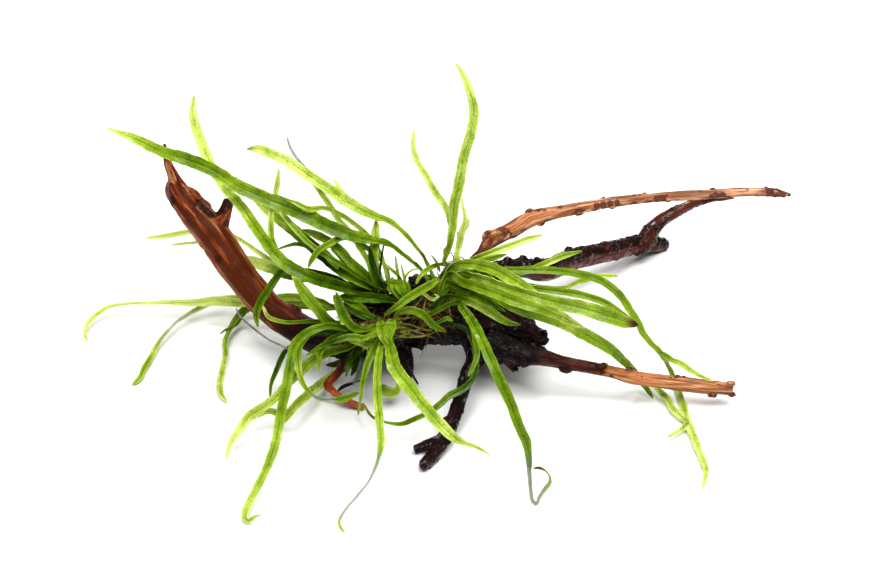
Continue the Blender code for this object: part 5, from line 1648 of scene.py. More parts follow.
def same_side(ways, guide):
    """The directions, each turned round where it points away from its guide."""
    return np.where(np.sum(ways * guide, axis=1, keepdims=True) < 0, -ways, ways)


def across_signs(wide):
    """Makes the directions across a blade run the same way all along it."""
    wide = wide.copy()
    for index in range(1, len(wide)):
        if np.dot(wide[index], wide[index - 1]) < 0:
            wide[index] = -wide[index]
    return wide


def blade_axes(rows):
    """Directions across a blade and out of its upper side, and its true half width, along its samples."""
    ahead = unit(np.gradient(rows[:, :3], axis=0))
    sight = sight_at(rows[:, :3])
    shown = rows[:, 3]
    share = np.linspace(0.0, 1.0, len(rows))
    fullness = np.clip(np.minimum(share / BASE_RAMP, (1 - share) / TIP_RAMP), 0.0, 1.0)
    true = shown + EVEN_WIDTH * np.maximum(FULL_SHARE * np.max(shown) - shown, 0.0) * fullness
    turn = np.arccos(np.clip(shown / true, 0.0, 1.0))[:, None]
    wide = np.cross(ahead, sight)
    wide = across_signs(wide / np.maximum(np.linalg.norm(wide, axis=1, keepdims=True), TINY))
    normal = same_side(np.cross(wide, ahead), -sight)
    side = wide * np.cos(turn) + normal * np.sin(turn)
    face = same_side(np.cross(side, ahead), normal)
    return side, face, np.maximum(true, TIP_WIDTH) / 2


def noise_along(walked, size, second, third):
    """Smooth noise along a blade, in cells of this length."""
    return np.array([noise.noise(Vector((distance / size, second, third))) for distance in walked])


def edge_noise(walked, size, seed):
    """Smooth noise along each of a blade's two edges."""
    return np.array([noise_along(walked, size, edge * 9, seed) for edge in (0, 1)])


def spanned(share, start, end, soft):
    """1 between two shares of a blade's length and 0 outside them, with soft ends."""
    return smoothstep(start - soft, start + soft, share) * (1 - smoothstep(end - soft, end + soft, share))


def blade_grid(name, count):
    """A flat grid for a blade, with the column and the row of each of its points."""
    columns = len(COLUMNS) - 1
    bpy.ops.object.select_all(action="DESELECT")
    bpy.ops.mesh.primitive_grid_add(x_subdivisions=columns, y_subdivisions=count - 1, size=2)
    piece = bpy.context.object
    piece.name = name
    flat = (coordinates(piece)[:, :2] + 1) / 2 * (columns, count - 1)
    column, row = np.rint(flat).astype(int).T
    return piece, column, row


def blade_skin(name, rows, tones, leaf, stalk=1.0):
    """One thin blade: a grid laid along its route, folded along its midrib, its edges uneven and waved."""
    rng = random.Random(sum(ord(letter) * (index + 1) for index, letter in enumerate(name)))
    rows = smooth(rows, BLADE_STEP)
    side, face, half = blade_axes(rows)
    points = rows[:, :3] + TO_ORIGIN
    walked = walked_along(points)
    share = walked / walked[-1]
    half = np.maximum(half, stalk * leaf.base_width / 2 * np.exp(-walked / leaf.base_reach))
    for distance, (start, roundness) in ((walked[-1] - walked, ROUND_TIP), (walked, ROUND_BASE)):
        half = half * np.sqrt(np.clip((distance + start) / (roundness * half), 0.0, 1.0))
    piece, column, row = blade_grid(name, len(rows))
    u = COLUMNS[column]
    seed = rng.uniform(0, 50)
    wave = edge_noise(walked, WAVE_LENGTH, seed)
    notch = edge_noise(walked, NOTCH_LENGTH, seed + 70)
    edge = (u > 0).astype(int)
    out = np.abs(u)
    rise = rng.uniform(*FOLDS) * leaf.fold * half[row] * out**FOLD_CURVE
    rise += wave[edge, row] * np.minimum(leaf.wave_height, STEEPEST_WAVE * half[row]) * out**WAVE_CURVE
    rise -= np.minimum(leaf.groove_depth, DEEPEST_GROOVE * half[row]) * np.exp(-(u / GROOVE_WIDTH) ** 2)
    reach = u * half[row] * (1 + NOTCH_DEPTH * notch[edge, row] * out**NOTCH_CURVE)
    place(piece, points[row] + side[row] * reach[:, None] + face[row] * rise[:, None])
    # The tones hold painted light and shade as well as the blade's own colour.
    tone = np.interp(share, np.linspace(0, 1, len(tones)), tones)
    tone = np.clip(tone + BLOTCH_DEPTH * noise_along(walked, BLOTCH_LENGTH, seed, 3), 0.0, BRIGHTEST)
    # A grey sheen of wet film is painted onto these stretches of the blade.
    sheen_from, sheen_to, sheen_strength = SHEEN_SPANS.get(name, (NEVER, NEVER, 0.0))
    attribute(piece, "blade", np.stack((u, walked[row], share[row]), axis=1))
    attribute(piece, "tone", tone[row])
    attribute(piece, "brown", spanned(share, BROWN_ENDS.get(name, NEVER), NEVER, BROWN_EDGE)[row])
    attribute(piece, "sheen", sheen_strength * spanned(share, sheen_from, sheen_to, SHEEN_EDGE)[row])
    attribute(piece, "mottle", np.full(len(row), 1.0 if name in MOTTLED else FAINT_MOTTLE))
    return piece


def lobe_tones(tones, share):
    """A side lobe starts as bright as its blade is there and ends as bright as the blade's tip."""
    start = float(np.interp(share, np.linspace(0, 1, len(tones)), tones))
    return start, (start + tones[-1]) / 2, tones[-1]


def finish_frond(name, parts, leaf):
    """A frond's blade and lobes made one piece and given their thickness."""
    piece = joined(f"{name}_blades", parts)
    modified(piece, "SOLIDIFY", thickness=leaf.thickness, offset=0.0)
    only(piece)
    bpy.ops.object.shade_smooth_by_angle(angle=SHARP_ANGLE)
    return piece


def grow_fronds(leaf):
    """Every frond with its lobes, where the relaxed routes lie."""
    chains = frond_chains()
    spread(chains)
    parts = {}
    for chain in chains:
        name = chain.frond
        tones = FROND_TONES_LIGHT_AND_SHADE[name]
        if chain.stem is None:
            parts[name] = [blade_skin(name, chain.rows, tones, leaf, SLENDER.get(name, 1.0))]
            continue
        rows = chain.rows.copy()
        rows[:, :3] += sight_at(rows[:, :3]) * LOBE_BEHIND
        tones = lobe_tones(tones, chain.joint / len(chain.stem.rows))
        parts[name].append(blade_skin(f"{name}_lobe_{chain.start}", rows, tones, leaf))
    return {name: finish_frond(name, blades, leaf) for name, blades in parts.items()}


def grow_shoots(name, leaf):
    """A group of the smallest leaves and shoots."""
    return finish_frond(name, [
        blade_skin(f"{name}_{number}", smooth(placed(route), SAMPLE_STEP), tones, leaf, SHOOT_STALK)
        for number, (tones, route) in enumerate(SHOOTS[name])
    ], leaf)


# Materials

def eye_colour(red, green, blue):
    """A colour as the eye reads it, in 0 to 255, as linear values."""
    return tuple((value / 255) ** 2.2 for value in (red, green, blue))


# Clear water over a surface, which takes nearly all its shine from the water
WATER_ROUGHNESS = 0.07
WATER_IOR = 1.33
UNDER_WATER_SHINE = 0.06

# How the cracks are drawn out against the streaks, and the net of veins across a blade
CRACK_STRETCH = (1.3, 1.3, 0.4)
NET_STRETCH = 0.0022

# Cells to the metre of what marks each surface
WOOD_CELLS = {"clouds": 130.0, "crumbs": 900.0, "film": 260.0}
RHIZOME_CELLS = {"clouds": 240.0, "scales": 1100.0, "film": 300.0}
ROOT_CELLS = {"clouds": 160.0, "grit": 1500.0, "film": 400.0}
FROND_CELLS = {
    "clouds": 210.0, "mottle": 760.0, "specks": 1400.0, "crumbs": 700.0, "net": 900.0, "film": 200.0,
}

# Tints that lie over a surface, among them painted shade in the rhizomes' hollows and a painted grey sheen
# on the blades
SCALE_GAPS = eye_colour(26, 18, 12)
SCALE_HOLLOW_SHADE = eye_colour(24, 16, 12)
ROOT_GRIME = eye_colour(18, 12, 10)
STALK_TINT = eye_colour(70, 86, 20)
SPECK_TINT = eye_colour(52, 60, 14)
# The painted grey sheen of wet film on the blades
SHEEN_TINT = eye_colour(152, 150, 157)
DRIED_TINTS = (eye_colour(30, 16, 12), eye_colour(84, 50, 30))

# The dark and light tones of the thin stems
STEM_TONES = {
    "fine_root_finish": (eye_colour(54, 30, 18), eye_colour(134, 84, 44)),
    "rootlet_finish": (eye_colour(26, 16, 14), eye_colour(66, 38, 28)),
    "old_stalk_finish": (eye_colour(62, 60, 18), eye_colour(134, 138, 54)),
}

# How rough a surface is where water stands and where it has drained, and the strength of its film of water
RHIZOME_WATER = (0.2, 0.65)
STEM_WATER = (0.15, 0.5, 0.4)

# How far light passes into the blades: its reach in red, green and blue, and its depth
GLOW_REACH = (0.8, 1.0, 0.2)
GLOW_DEPTH = 0.6 * MM

# The rhizomes' colours, from the darkest to the palest
RHIZOME_TONES = (
    (0.3, eye_colour(44, 34, 20)), (0.48, eye_colour(88, 74, 34)), (0.6, eye_colour(112, 120, 46)),
    (0.75, eye_colour(150, 140, 70)),
)


class Signal:
    """What a material's node puts out, with the sums that make a new node from it."""

    def __init__(self, socket):
        self.socket = socket
        self.tree = socket.id_data

    def __add__(self, other):
        return worked("ADD", self, other)

    def __sub__(self, other):
        return worked("SUBTRACT", self, other)

    def __mul__(self, other):
        return worked("MULTIPLY", self, other)

    def __truediv__(self, other):
        return worked("DIVIDE", self, other)

    def __abs__(self):
        return worked("ABSOLUTE", self)


def fill(node, inputs):
    """Links a node's inputs to signals, or sets them to values."""
    for key, value in inputs.items():
        if isinstance(value, Signal):
            value.tree.links.new(value.socket, node.inputs[key])
        else:
            node.inputs[key].default_value = value


def add_node(tree, kind, inputs, output=0, **settings):
    """What a new node with these settings and inputs puts out."""
    node = tree.nodes.new(kind)
    for key, value in settings.items():
        setattr(node, key, value)
    fill(node, inputs)
    return Signal(node.outputs[output])


def worked(operation, first, second=0.0):
    """A number worked out from one or two others."""
    return add_node(first.tree, "ShaderNodeMath", {0: first, 1: second}, operation=operation)


def mixed(share, first, second):
    """Two colours mixed by a share."""
    first, second = (colour if isinstance(colour, Signal) else (*colour, 1) for colour in (first, second))
    return add_node(share.tree, "ShaderNodeMix", {0: share, 6: first, 7: second}, 2, data_type="RGBA")


def ranged(value, low, high, to_low=0.0, to_high=1.0):
    """A number taken smoothly from one range to another."""
    return add_node(value.tree, "ShaderNodeMapRange", {
        "Value": value, "From Min": low, "From Max": high, "To Min": to_low, "To Max": to_high,
    }, interpolation_type="SMOOTHSTEP")


def noise_at(vector, scale, detail=3.0, roughness=0.55):
    """Smooth noise at a vector, scale in cells to the metre."""
    return add_node(vector.tree, "ShaderNodeTexNoise", {
        "Vector": vector, "Scale": scale, "Detail": detail, "Roughness": roughness,
    }, "Fac")


def cells_at(vector, scale, feature):
    """The distance to the middle or to the edge of uneven cells, scale in cells to the metre."""
    return add_node(
        vector.tree, "ShaderNodeTexVoronoi", {"Vector": vector, "Scale": scale}, "Distance", feature=feature,
    )


def ramped(value, stops):
    """A colour read from stops of (place, colour)."""
    node = value.tree.nodes.new("ShaderNodeValToRGB")
    fill(node, {"Fac": value})
    elements = node.color_ramp.elements
    while len(elements) < len(stops):
        elements.new(0.5)
    for element, (where, colour) in zip(elements, stops):
        element.position = where
        element.color = (*colour, 1)
    return Signal(node.outputs["Color"])


def stored(tree, name, output="Fac"):
    """A number, or a vector, kept at the piece's points."""
    return add_node(tree, "ShaderNodeAttribute", {}, output, attribute_name=name)


def split(vector):
    """A vector's three parts."""
    node = vector.tree.nodes.new("ShaderNodeSeparateXYZ")
    fill(node, {0: vector})
    return [Signal(socket) for socket in node.outputs]


def vector_of(x, y, z=0.0):
    """A vector from its three parts."""
    return add_node(x.tree, "ShaderNodeCombineXYZ", {"X": x, "Y": y, "Z": z})


def stretched(vector, shares):
    """A vector with each of its parts multiplied."""
    return add_node(vector.tree, "ShaderNodeVectorMath", {0: vector, 1: shares}, operation="MULTIPLY")


def grain_marks(grain, across, along):
    """Streaks and fine fibres that run along the grain of the wood."""
    drawn = stretched(grain, vector_of(across, across, along))
    parting = abs(noise_at(stretched(drawn, CRACK_STRETCH), 1.0, 2.0, 0.5) - 0.5)
    return {
        "Streaks": ranged(noise_at(drawn, 1.0, 2.0), 0.42, 0.66),
        "Fibres": ranged(noise_at(drawn, 3.6, 4.0, 0.65), 0.32, 0.68),
        "Pores": ranged(noise_at(drawn, 7.0, 2.0, 0.5), 0.60, 0.72),
        "Stains": ranged(noise_at(drawn, 0.46, 3.0, 0.6), 0.47, 0.57),
        "Cracks": ranged(parting, 0.006, 0.034, 1.0, 0.0),
    }


def film_marks(place_at, cells, wet, drained):
    """How rough a wet surface is: smooth where the water stands, rougher where it has drained."""
    film = ranged(noise_at(place_at, cells), 0.4, 0.62)
    inputs = {"Value": film, "To Min": drained, "To Max": wet}
    return {"Roughness": add_node(film.tree, "ShaderNodeMapRange", inputs), "Film": film}


def vein_marks(blade, veins_across, net_cells):
    """The midrib, the fine lengthwise veins, the net between them, and the rim of a blade."""
    u, walked, _ = split(blade)
    across = abs(u)
    lines = worked("PINGPONG", across * veins_across, 1.0)
    net = cells_at(vector_of(u * NET_STRETCH, walked), net_cells, "DISTANCE_TO_EDGE")
    return {
        "Midrib": ranged(across, 0.03, 0.15, 1.0, 0.0),
        "Veins": ranged(lines, 0.72, 0.98),
        "Net": ranged(net, 0.02, 0.16, 1.0, 0.0),
        "Rim": ranged(across, 0.62, 1.0),
    }


# The node groups: what each works out, and its inputs, of which the first is a vector
GROUPS = {
    "Wood grain": (grain_marks, {"Grain": None, "Across": 500.0, "Along": 40.0}),
    "Wet film": (film_marks, {"Place": None, "Cells": 220.0, "Wet": 0.1, "Drained": 0.5}),
    "Blade veins": (vein_marks, {"Blade": None, "Veins across": 5.0, "Net cells": 900.0}),
}


def new_group(name):
    """A node group with its named sockets and its nodes."""
    marks, inputs = GROUPS[name]
    tree = bpy.data.node_groups.new(name, "ShaderNodeTree")
    for label, value in inputs.items():
        kind = "NodeSocketVector" if value is None else "NodeSocketFloat"
        socket = tree.interface.new_socket(name=label, in_out="INPUT", socket_type=kind)
        if value is not None:
            socket.default_value = value
    given = tree.nodes.new("NodeGroupInput")
    found = marks(*[Signal(given.outputs[label]) for label in inputs])
    for label in found:
        tree.interface.new_socket(name=label, in_out="OUTPUT", socket_type="NodeSocketFloat")
    fill(tree.nodes.new("NodeGroupOutput"), found)
    return tree


def grouped(tree, name, inputs):
    """What a node group puts out in a material, by name."""
    node = tree.nodes.new("ShaderNodeGroup")
    node.node_tree = bpy.data.node_groups.get(name) or new_group(name)
    fill(node, inputs)
    return {socket.name: Signal(socket) for socket in node.outputs}


def new_finish(name):
    """A material with its shader: the material, its tree and the shader."""
    material = bpy.data.materials.new(name)
    material.use_nodes = True
    tree = material.node_tree
    return material, tree, tree.nodes["Principled BSDF"]


def wetted(shader, colour, height, relief, place_at, water):
    """A surface of this colour and fine relief, with clear water that stands in patches over it."""
    strength, distance = relief
    cells, wet, drained, film = water
    marks = grouped(place_at.tree, "Wet film", {
        "Place": place_at, "Cells": cells, "Wet": wet, "Drained": drained,
    })
    fill(shader, {
        "Base Color": colour,
        "Roughness": marks["Roughness"],
        "Normal": add_node(place_at.tree, "ShaderNodeBump", {
            "Height": height, "Strength": strength, "Distance": distance,
        }),
        "Coat Weight": marks["Film"] * film,
        "Coat Roughness": WATER_ROUGHNESS,
        "Coat IOR": WATER_IOR,
        "Specular IOR Level": UNDER_WATER_SHINE,
    })


def toned(look, gain=1.0, lift=0.0):
    """A limb's colours from base to tip, made lighter or darker."""
    return [
        (where, tuple(min(gain * value + lift, 1.0) for value in eye_colour(*tone)))
        for where, tone in look["tones"]
    ]


def wood_finish(name, length, wood):
    """Wet wood: its tones run from base to tip, with streaks, fibres, pits, dark bark and knots, painted
    shade in its hollows, and painted shade along some shaded edges.
    """
    look = WOOD_LOOKS[name]
    material, tree, shader = new_finish(f"{name}_finish")
    place_at = add_node(tree, "ShaderNodeTexCoord", {}, "Object")
    grain = stored(tree, "grain", "Vector")
    share = split(grain)[2] / length + (noise_at(place_at, WOOD_CELLS["clouds"], 4.0) - 0.5) * 0.22
    colour = ramped(share, toned(look))
    light = ramped(share, toned(look, LIGHT_GAIN, LIGHT_LIFT))
    dark = ramped(share, toned(look, DARK_GAIN))
    if "pale" in look:
        pale = ranged(share, look["pale_from"], look["pale_from"] + 0.1) * PALE_SHARE
        light = mixed(pale, light, eye_colour(*look["pale"]))
    lines = grouped(tree, "Wood grain", {
        "Grain": grain, "Across": wood.grain_across, "Along": wood.grain_along,
    })
    colour = mixed(lines["Streaks"] * look["streaky"], colour, light)
    stains = lines["Stains"] * look["stained"]
    fibres = lines["Fibres"] * 0.3
    # Painted shade in the hollows of the skin
    hollow_shade = ranged(stored(tree, "relief"), 0.6, 0.1, 0.0, 0.7)
    pores = lines["Pores"] * 0.6
    cracks = lines["Cracks"] * look["cracked"]
    for mark in (stains, fibres, hollow_shade, pores, cracks):
        colour = mixed(mark, colour, dark)
    crumbs = noise_at(place_at, WOOD_CELLS["crumbs"], 3.0, 0.6)
    # The bark mark also carries the dark knots and patches, some of them painted edge shade.
    barked = ranged(stored(tree, "bark") + (crumbs - 0.5) * 0.9, 0.25, 0.62, 0.0, 0.9)
    bark_tone = eye_colour(*look["bark_tone"])
    colour = mixed(barked, colour, mixed(crumbs, [0.4 * value for value in bark_tone], bark_tone))
    height = lines["Fibres"] * -0.5 + crumbs - pores - cracks * 1.4
    water = (WOOD_CELLS["film"], wood.wet_roughness, wood.drained_roughness, wood.film * look["wet"])
    wetted(shader, colour, height, (0.7, 0.2 * MM), place_at, water)
    return material


def rhizome_finish(settings):
    """A creeping rhizome: brown scales, green where it is young, dark between the scales, and painted shade
    in the hollows of its skin.
    """
    material, tree, shader = new_finish("rhizome_finish")
    place_at = add_node(tree, "ShaderNodeTexCoord", {}, "Object")
    colour = ramped(noise_at(place_at, RHIZOME_CELLS["clouds"], 4.0), RHIZOME_TONES)
    scales = cells_at(place_at, RHIZOME_CELLS["scales"], "F1")
    colour = mixed(ranged(scales, 0.35, 0.75, 0.0, 0.7), colour, SCALE_GAPS)
    # Painted shade in the hollows of the skin
    colour = mixed(ranged(stored(tree, "relief"), 0.5, 0.2, 0.0, 0.8), colour, SCALE_HOLLOW_SHADE)
    water = (RHIZOME_CELLS["film"], *RHIZOME_WATER, settings.film)
    wetted(shader, colour, scales, (0.6, 0.2 * MM), place_at, water)
    return material


def stem_finish(name):
    """Fine roots and other thin stems: brown to near black, paler where they are young."""
    material, tree, shader = new_finish(name)
    place_at = add_node(tree, "ShaderNodeTexCoord", {}, "Object")
    dark, light = STEM_TONES[name]
    grit = noise_at(place_at, ROOT_CELLS["grit"])
    colour = ramped(noise_at(place_at, ROOT_CELLS["clouds"]), [(0.35, dark), (0.68, light)])
    colour = mixed(ranged(grit, 0.4, 0.65, 0.0, 0.6), colour, ROOT_GRIME)
    wetted(shader, colour, grit, (0.4, 0.1 * MM), place_at, (ROOT_CELLS["film"], *STEM_WATER))
    return material


def leaf_finish(leaf):
    """A wet frond, dark green to yellow by its tone, which holds its own colour from old to young and
    painted light and shade, with its midrib, veins and a paler rim that is partly painted light through the
    thin edge.
    """
    material, tree, shader = new_finish("frond_finish")
    place_at = add_node(tree, "ShaderNodeTexCoord", {}, "Object")
    blade = stored(tree, "blade", "Vector")
    u, walked, _ = split(blade)
    veins = grouped(tree, "Blade veins", {
        "Blade": blade, "Veins across": leaf.vein_count, "Net cells": FROND_CELLS["net"],
    })
    brushed = noise_at(vector_of(u * 3.0, walked * 70.0), 1.0)
    cloud = noise_at(place_at, FROND_CELLS["clouds"], 4.0)
    mottle = noise_at(place_at, FROND_CELLS["mottle"], 3.0, 0.6)
    spots = ranged(mottle, 0.48, 0.62) * (ranged(abs(u), 0.2, 0.8, 1.0, 0.0) * stored(tree, "mottle"))
    shift = (cloud - 0.5) * 0.46 + (brushed - 0.5) * 0.4 - spots * 0.1 + (mottle - 0.5) * 0.18
    # A paler rim: partly the blade's own paler edge, partly painted light shining through the thin edge.
    shift = shift - veins["Net"] * 0.08 + veins["Rim"] * 0.1 - veins["Midrib"] * 0.04
    # The tone that reads this ramp holds painted light and shade as well as the frond's own colour.
    colour = ramped(stored(tree, "tone") + shift, [
        (0.0, leaf.old_colour), (0.25, leaf.grown_colour), (0.5, leaf.middle_colour),
        (0.78, leaf.young_colour), (1.0, leaf.tip_colour),
    ])
    stalk = ranged(walked, 1 * MM, 5 * MM, 0.35, 0.0)
    specks = ranged(noise_at(place_at, FROND_CELLS["specks"], 2.0, 0.4), 0.66, 0.74, 0.0, 0.5)
    # The painted grey sheen of wet film, broken up by clouds
    painted_sheen = stored(tree, "sheen") * ranged(cloud, 0.3, 0.6, 0.6, 1.0)
    dried = mixed(noise_at(place_at, FROND_CELLS["crumbs"]), *DRIED_TINTS)
    for mark, over in (
        (stalk, STALK_TINT), (specks, SPECK_TINT), (painted_sheen, SHEEN_TINT), (stored(tree, "brown"), dried),
    ):
        colour = mixed(mark, colour, over)
    height = veins["Midrib"] * -0.75 + veins["Veins"] * 0.3 + veins["Net"] * -0.3 + brushed * 1.2
    water = (FROND_CELLS["film"], leaf.wet_roughness, leaf.drained_roughness, leaf.film)
    wetted(shader, colour, height, (0.5, 0.2 * MM), place_at, water)
    fill(shader, {
        "Subsurface Weight": leaf.glow, "Subsurface Radius": GLOW_REACH, "Subsurface Scale": GLOW_DEPTH,
    })
    return material


def dress(piece, material, slot, *nodes):
    """Gives a finished piece its material and its body, and hides the solids that it stands for. The slot is
    not used.
    """
    piece.data.materials.clear()
    piece.data.materials.append(material)
    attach(piece, "root")
    if nodes:
        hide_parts(*nodes)


# What a user would change

def length_setting(name, description, default, low, high, precision=5):
    """A length with its default and its limits in millimetres."""
    return FloatProperty(
        name=name, description=description, default=default * MM, min=low * MM, max=high * MM,
        unit="LENGTH", precision=precision,
    )


def share_setting(name, description, default):
    """A share of the whole."""
    return FloatProperty(
        name=name, description=description, default=default, min=0.0, max=1.0, subtype="FACTOR",
    )


def colour_setting(name, description, default):
    """A colour that can be picked."""
    return FloatVectorProperty(
        name=name, description=description, default=default, min=0.0, max=1.0, subtype="COLOR",
    )


class WoodSettings(bpy.types.PropertyGroup):
    """Sizes and finish of the root wood."""

    skin_cell: length_setting(
        "Skin Cell", "Size of the skin's cells, of which each limb takes its own share", 1.0, 0.5, 4,
    )
    facet_height: length_setting(
        "Facet Height", "How far the broad lengthwise facets stand out", 0.6, 0.0, 3,
    )
    ridge_height: length_setting("Ridge Height", "How far the grain's ridges stand out", 0.9, 0.0, 3)
    bark_height: length_setting("Bark Height", "How far the patches of bark stand out", 0.55, 0.0, 3)
    bark_share: FloatProperty(
        name="Bark Share", description="How much of its bark the wood has kept",
        default=1.0, min=0.0, max=1.5, subtype="FACTOR",
    )
    grain_across: FloatProperty(
        name="Grain Across", description="Streaks of the grain to the metre, across a limb",
        default=520.0, min=50.0, max=3000.0,
    )
    grain_along: FloatProperty(
        name="Grain Along", description="Streaks of the grain to the metre, along a limb",
        default=42.0, min=5.0, max=500.0,
    )
    wet_roughness: share_setting("Wet Roughness", "Roughness where water stands on the wood", 0.14)
    drained_roughness: share_setting("Drained Roughness", "Roughness where the water has drained off", 0.5)
    film: share_setting("Water Film", "Strength of the clear film of water over the wood", 0.34)


class RootSettings(bpy.types.PropertyGroup):
    """Sizes and finish of the rhizomes and their fine roots."""

    scar_count: IntProperty(
        name="Scars", description="Scars of old stalks on each rhizome", default=34, min=0, max=200,
    )
    scale_height: length_setting("Scale Height", "How far the rhizome's scales stand out", 0.14, 0.0, 1)
    root_length: length_setting("Root Length", "Length of the longest fine roots", 15, 2, 60, 4)
    root_thickness: length_setting("Root Thickness", "Diameter of the thickest fine roots", 0.55, 0.1, 2)
    film: share_setting("Water Film", "Strength of the clear film of water over the rhizomes", 0.3)


class LeafSettings(bpy.types.PropertyGroup):
    """Sizes and colours of the fronds."""

    thickness: length_setting("Thickness", "Thickness of a blade", 0.3, 0.1, 1)
    base_width: length_setting(
        "Base Width", "Width of a blade's stalk where it leaves its rhizome", 3.0, 0.0, 10,
    )
    base_reach: length_setting("Base Reach", "How far the wide base of the stalk reaches", 16, 1, 60, 4)
    fold: FloatProperty(
        name="Fold", description="How strongly the blades are folded along their midribs",
        default=1.0, min=-2.0, max=2.0,
    )
    groove_depth: length_setting("Groove Depth", "Depth of the groove over the midrib", 0.16, 0.0, 1)
    wave_height: length_setting("Wave Height", "How far the blades' edges wave up and down", 0.55, 0.0, 3)
    vein_count: FloatProperty(
        name="Lengthwise Veins", description="Fine veins on each side of the midrib",
        default=5.0, min=0.0, max=20.0,
    )
    wet_roughness: share_setting("Wet Roughness", "Roughness where water stands on a blade", 0.16)
    drained_roughness: share_setting("Drained Roughness", "Roughness where the water has drained off", 0.46)
    film: share_setting("Water Film", "Strength of the clear film of water over the blades", 0.4)
    glow: share_setting("Glow", "How much light passes into the thin blades", 0.45)
    old_colour: colour_setting("Old Colour", "Colour of the oldest blades", eye_colour(16, 28, 0))
    grown_colour: colour_setting("Grown Colour", "Colour of the grown blades", eye_colour(40, 66, 0))
    middle_colour: colour_setting("Middle Colour", "Colour between grown and young", eye_colour(83, 111, 2))
    young_colour: colour_setting("Young Colour", "Colour of the young blades", eye_colour(136, 161, 42))
    tip_colour: colour_setting("Tip Colour", "Colour of the youngest tips", eye_colour(199, 215, 112))


class StageSettings(bpy.types.PropertyGroup):
    """The floor, the lights and the camera."""

    floor_size: FloatProperty(
        name="Floor Size", description="Length of the floor's sides",
        default=8.0, min=1.0, max=50.0, unit="LENGTH",
    )
    floor_colour: colour_setting("Floor Colour", "Colour of the pale floor", (0.93, 0.93, 0.92))
    sky_strength: FloatProperty(
        name="Sky Strength", description="Strength of the light from all round",
        default=0.1, min=0.0, max=5.0,
    )
    lamp_power: FloatProperty(
        name="Lamp Power", description="Power of the soft lamp in front",
        default=31.5, min=0.0, max=500.0, subtype="POWER",
    )
    lamp_size: FloatProperty(
        name="Lamp Size", description="Length of the soft lamp's sides",
        default=1.3, min=0.05, max=5.0, unit="LENGTH",
    )


# Operators

class JAVA_FERN_OT_grow_wood(bpy.types.Operator):
    """Grows the root wood, limb by limb"""

    bl_idname = "java_fern.grow_wood"
    bl_label = "Grow Wood"

    def execute(self, context):
        wood = context.scene.java_fern_wood
        for name in LIMBS:
            piece, length = grow_limb(name, wood)
            dress(piece, wood_finish(name, length, wood), WOOD_LOOKS[name]["slot"], name)
        return {"FINISHED"}


class JAVA_FERN_OT_grow_rhizomes(bpy.types.Operator):
    """Grows the creeping rhizomes that carry the fronds"""

    bl_idname = "java_fern.grow_rhizomes"
    bl_label = "Grow Rhizomes"

    def execute(self, context):
        settings = context.scene.java_fern_roots
        material = rhizome_finish(settings)
        for name in RHIZOMES:
            dress(grow_rhizome(name, settings), material, "rhizome", name)
        return {"FINISHED"}


class JAVA_FERN_OT_grow_roots(bpy.types.Operator):
    """Grows the fine roots that grip the wood, and the bare rootlets under it"""

    bl_idname = "java_fern.grow_roots"
    bl_label = "Grow Roots"

    def execute(self, context):
        settings = context.scene.java_fern_roots
        surface = wood_surface([bpy.data.objects[f"{name}_skin"] for name in ROOTED_LIMBS])
        material = stem_finish("fine_root_finish")
        for name in RHIZOMES:
            dress(grow_roots(name, surface, settings), material, "rhizome")
        dress(grow_stems("rootlets", ROOTLETS), stem_finish("rootlet_finish"), "dark_wood")
        dress(grow_stems("old_stalks", OLD_STALKS), stem_finish("old_stalk_finish"), "frond")
        return {"FINISHED"}


class JAVA_FERN_OT_grow_fronds(bpy.types.Operator):
    """Grows every frond with its lobes, and the smallest shoots"""

    bl_idname = "java_fern.grow_fronds"
    bl_label = "Grow Fronds"

    def execute(self, context):
        leaf = context.scene.java_fern_leaves
        material = leaf_finish(leaf)
        for name, piece in grow_fronds(leaf).items():
            dress(piece, material, "frond", name)
        for name in SHOOTS:
            dress(grow_shoots(name, leaf), material, "frond")
        return {"FINISHED"}


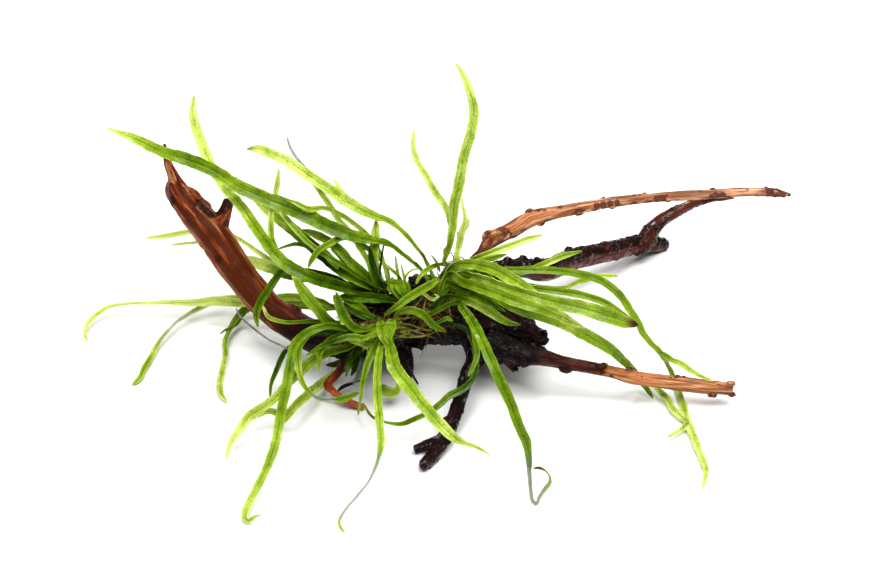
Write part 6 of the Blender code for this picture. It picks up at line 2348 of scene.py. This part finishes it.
class JAVA_FERN_OT_set_stage(bpy.types.Operator):
    """Lays the pale floor and sets the soft light and the camera"""

    bl_idname = "java_fern.set_stage"
    bl_label = "Set Stage"

    def execute(self, context):
        stage = context.scene.java_fern_stage
        bpy.ops.object.select_all(action="DESELECT")
        bpy.ops.mesh.primitive_plane_add(size=stage.floor_size)
        floor = context.object
        floor.name = "floor"
        material, _, shader = new_finish("floor_finish")
        fill(shader, {
            "Base Color": (*stage.floor_colour, 1),
            "Roughness": FLOOR_ROUGHNESS,
            "Specular IOR Level": FLOOR_SHINE,
        })
        floor.data.materials.append(material)

        world = bpy.data.worlds.new("soft_sky")
        world.use_nodes = True
        sky = world.node_tree.nodes["Background"]
        fill(sky, {"Color": (1.0, 1.0, 1.0, 1.0), "Strength": stage.sky_strength})
        context.scene.world = world

        for name, spot, power, length, depth in LAMPS:
            bpy.ops.object.light_add(type="AREA", location=spot)
            lamp = context.object
            lamp.name = name
            lamp.data.shape = "RECTANGLE"
            lamp.data.size = stage.lamp_size * length
            lamp.data.size_y = stage.lamp_size * depth
            lamp.data.energy = stage.lamp_power * power
            lamp.rotation_euler = (Vector(AIM_POINT) - Vector(spot)).to_track_quat("-Z", "Y").to_euler()

        eye, forward, _, _ = sight_axes()
        bpy.ops.object.camera_add(location=eye + TO_ORIGIN)
        camera = context.object
        camera.name = "camera"
        camera.rotation_euler = Vector(forward).to_track_quat("-Z", "Y").to_euler()
        camera.data.sensor_width = SENSOR_WIDTH
        camera.data.lens = SENSOR_WIDTH * VIEW_DISTANCE / (PHOTO_WIDTH * PIXEL)
        camera.data.clip_start = 10 * MM
        context.scene.camera = camera
        context.scene.view_settings.view_transform = "Standard"
        return {"FINISHED"}


class JAVA_FERN_PT_panel(bpy.types.Panel):
    """The fern's operators and settings in the 3D view's sidebar"""

    bl_idname = "JAVA_FERN_PT_panel"
    bl_label = "Java Fern"
    bl_space_type = "VIEW_3D"
    bl_region_type = "UI"
    bl_category = "Java Fern"

    def draw(self, context):
        for settings, operators in PANEL_ROWS:
            box = self.layout.box()
            group = getattr(context.scene, settings)
            for name in group.__annotations__:
                box.prop(group, name)
            for operator in operators:
                box.operator(operator.bl_idname)


SETTINGS = {
    "java_fern_wood": WoodSettings,
    "java_fern_roots": RootSettings,
    "java_fern_leaves": LeafSettings,
    "java_fern_stage": StageSettings,
}

OPERATORS = (
    JAVA_FERN_OT_grow_wood,
    JAVA_FERN_OT_grow_rhizomes,
    JAVA_FERN_OT_grow_roots,
    JAVA_FERN_OT_grow_fronds,
    JAVA_FERN_OT_set_stage,
)

PANEL_ROWS = (
    ("java_fern_wood", OPERATORS[:1]),
    ("java_fern_roots", OPERATORS[1:3]),
    ("java_fern_leaves", OPERATORS[3:4]),
    ("java_fern_stage", OPERATORS[4:]),
)


def register():
    for group in SETTINGS.values():
        bpy.utils.register_class(group)
    for operator in OPERATORS:
        bpy.utils.register_class(operator)
    bpy.utils.register_class(JAVA_FERN_PT_panel)
    for name, group in SETTINGS.items():
        setattr(bpy.types.Scene, name, PointerProperty(type=group))


def unregister():
    for name in SETTINGS:
        delattr(bpy.types.Scene, name)
    for group in (*SETTINGS.values(), *OPERATORS, JAVA_FERN_PT_panel):
        bpy.utils.unregister_class(group)


def main():
    register()
    bpy.ops.java_fern.grow_wood()
    bpy.ops.java_fern.grow_rhizomes()
    bpy.ops.java_fern.grow_roots()
    bpy.ops.java_fern.grow_fronds()
    bpy.ops.java_fern.set_stage()


if __name__ == "__main__":
    main()
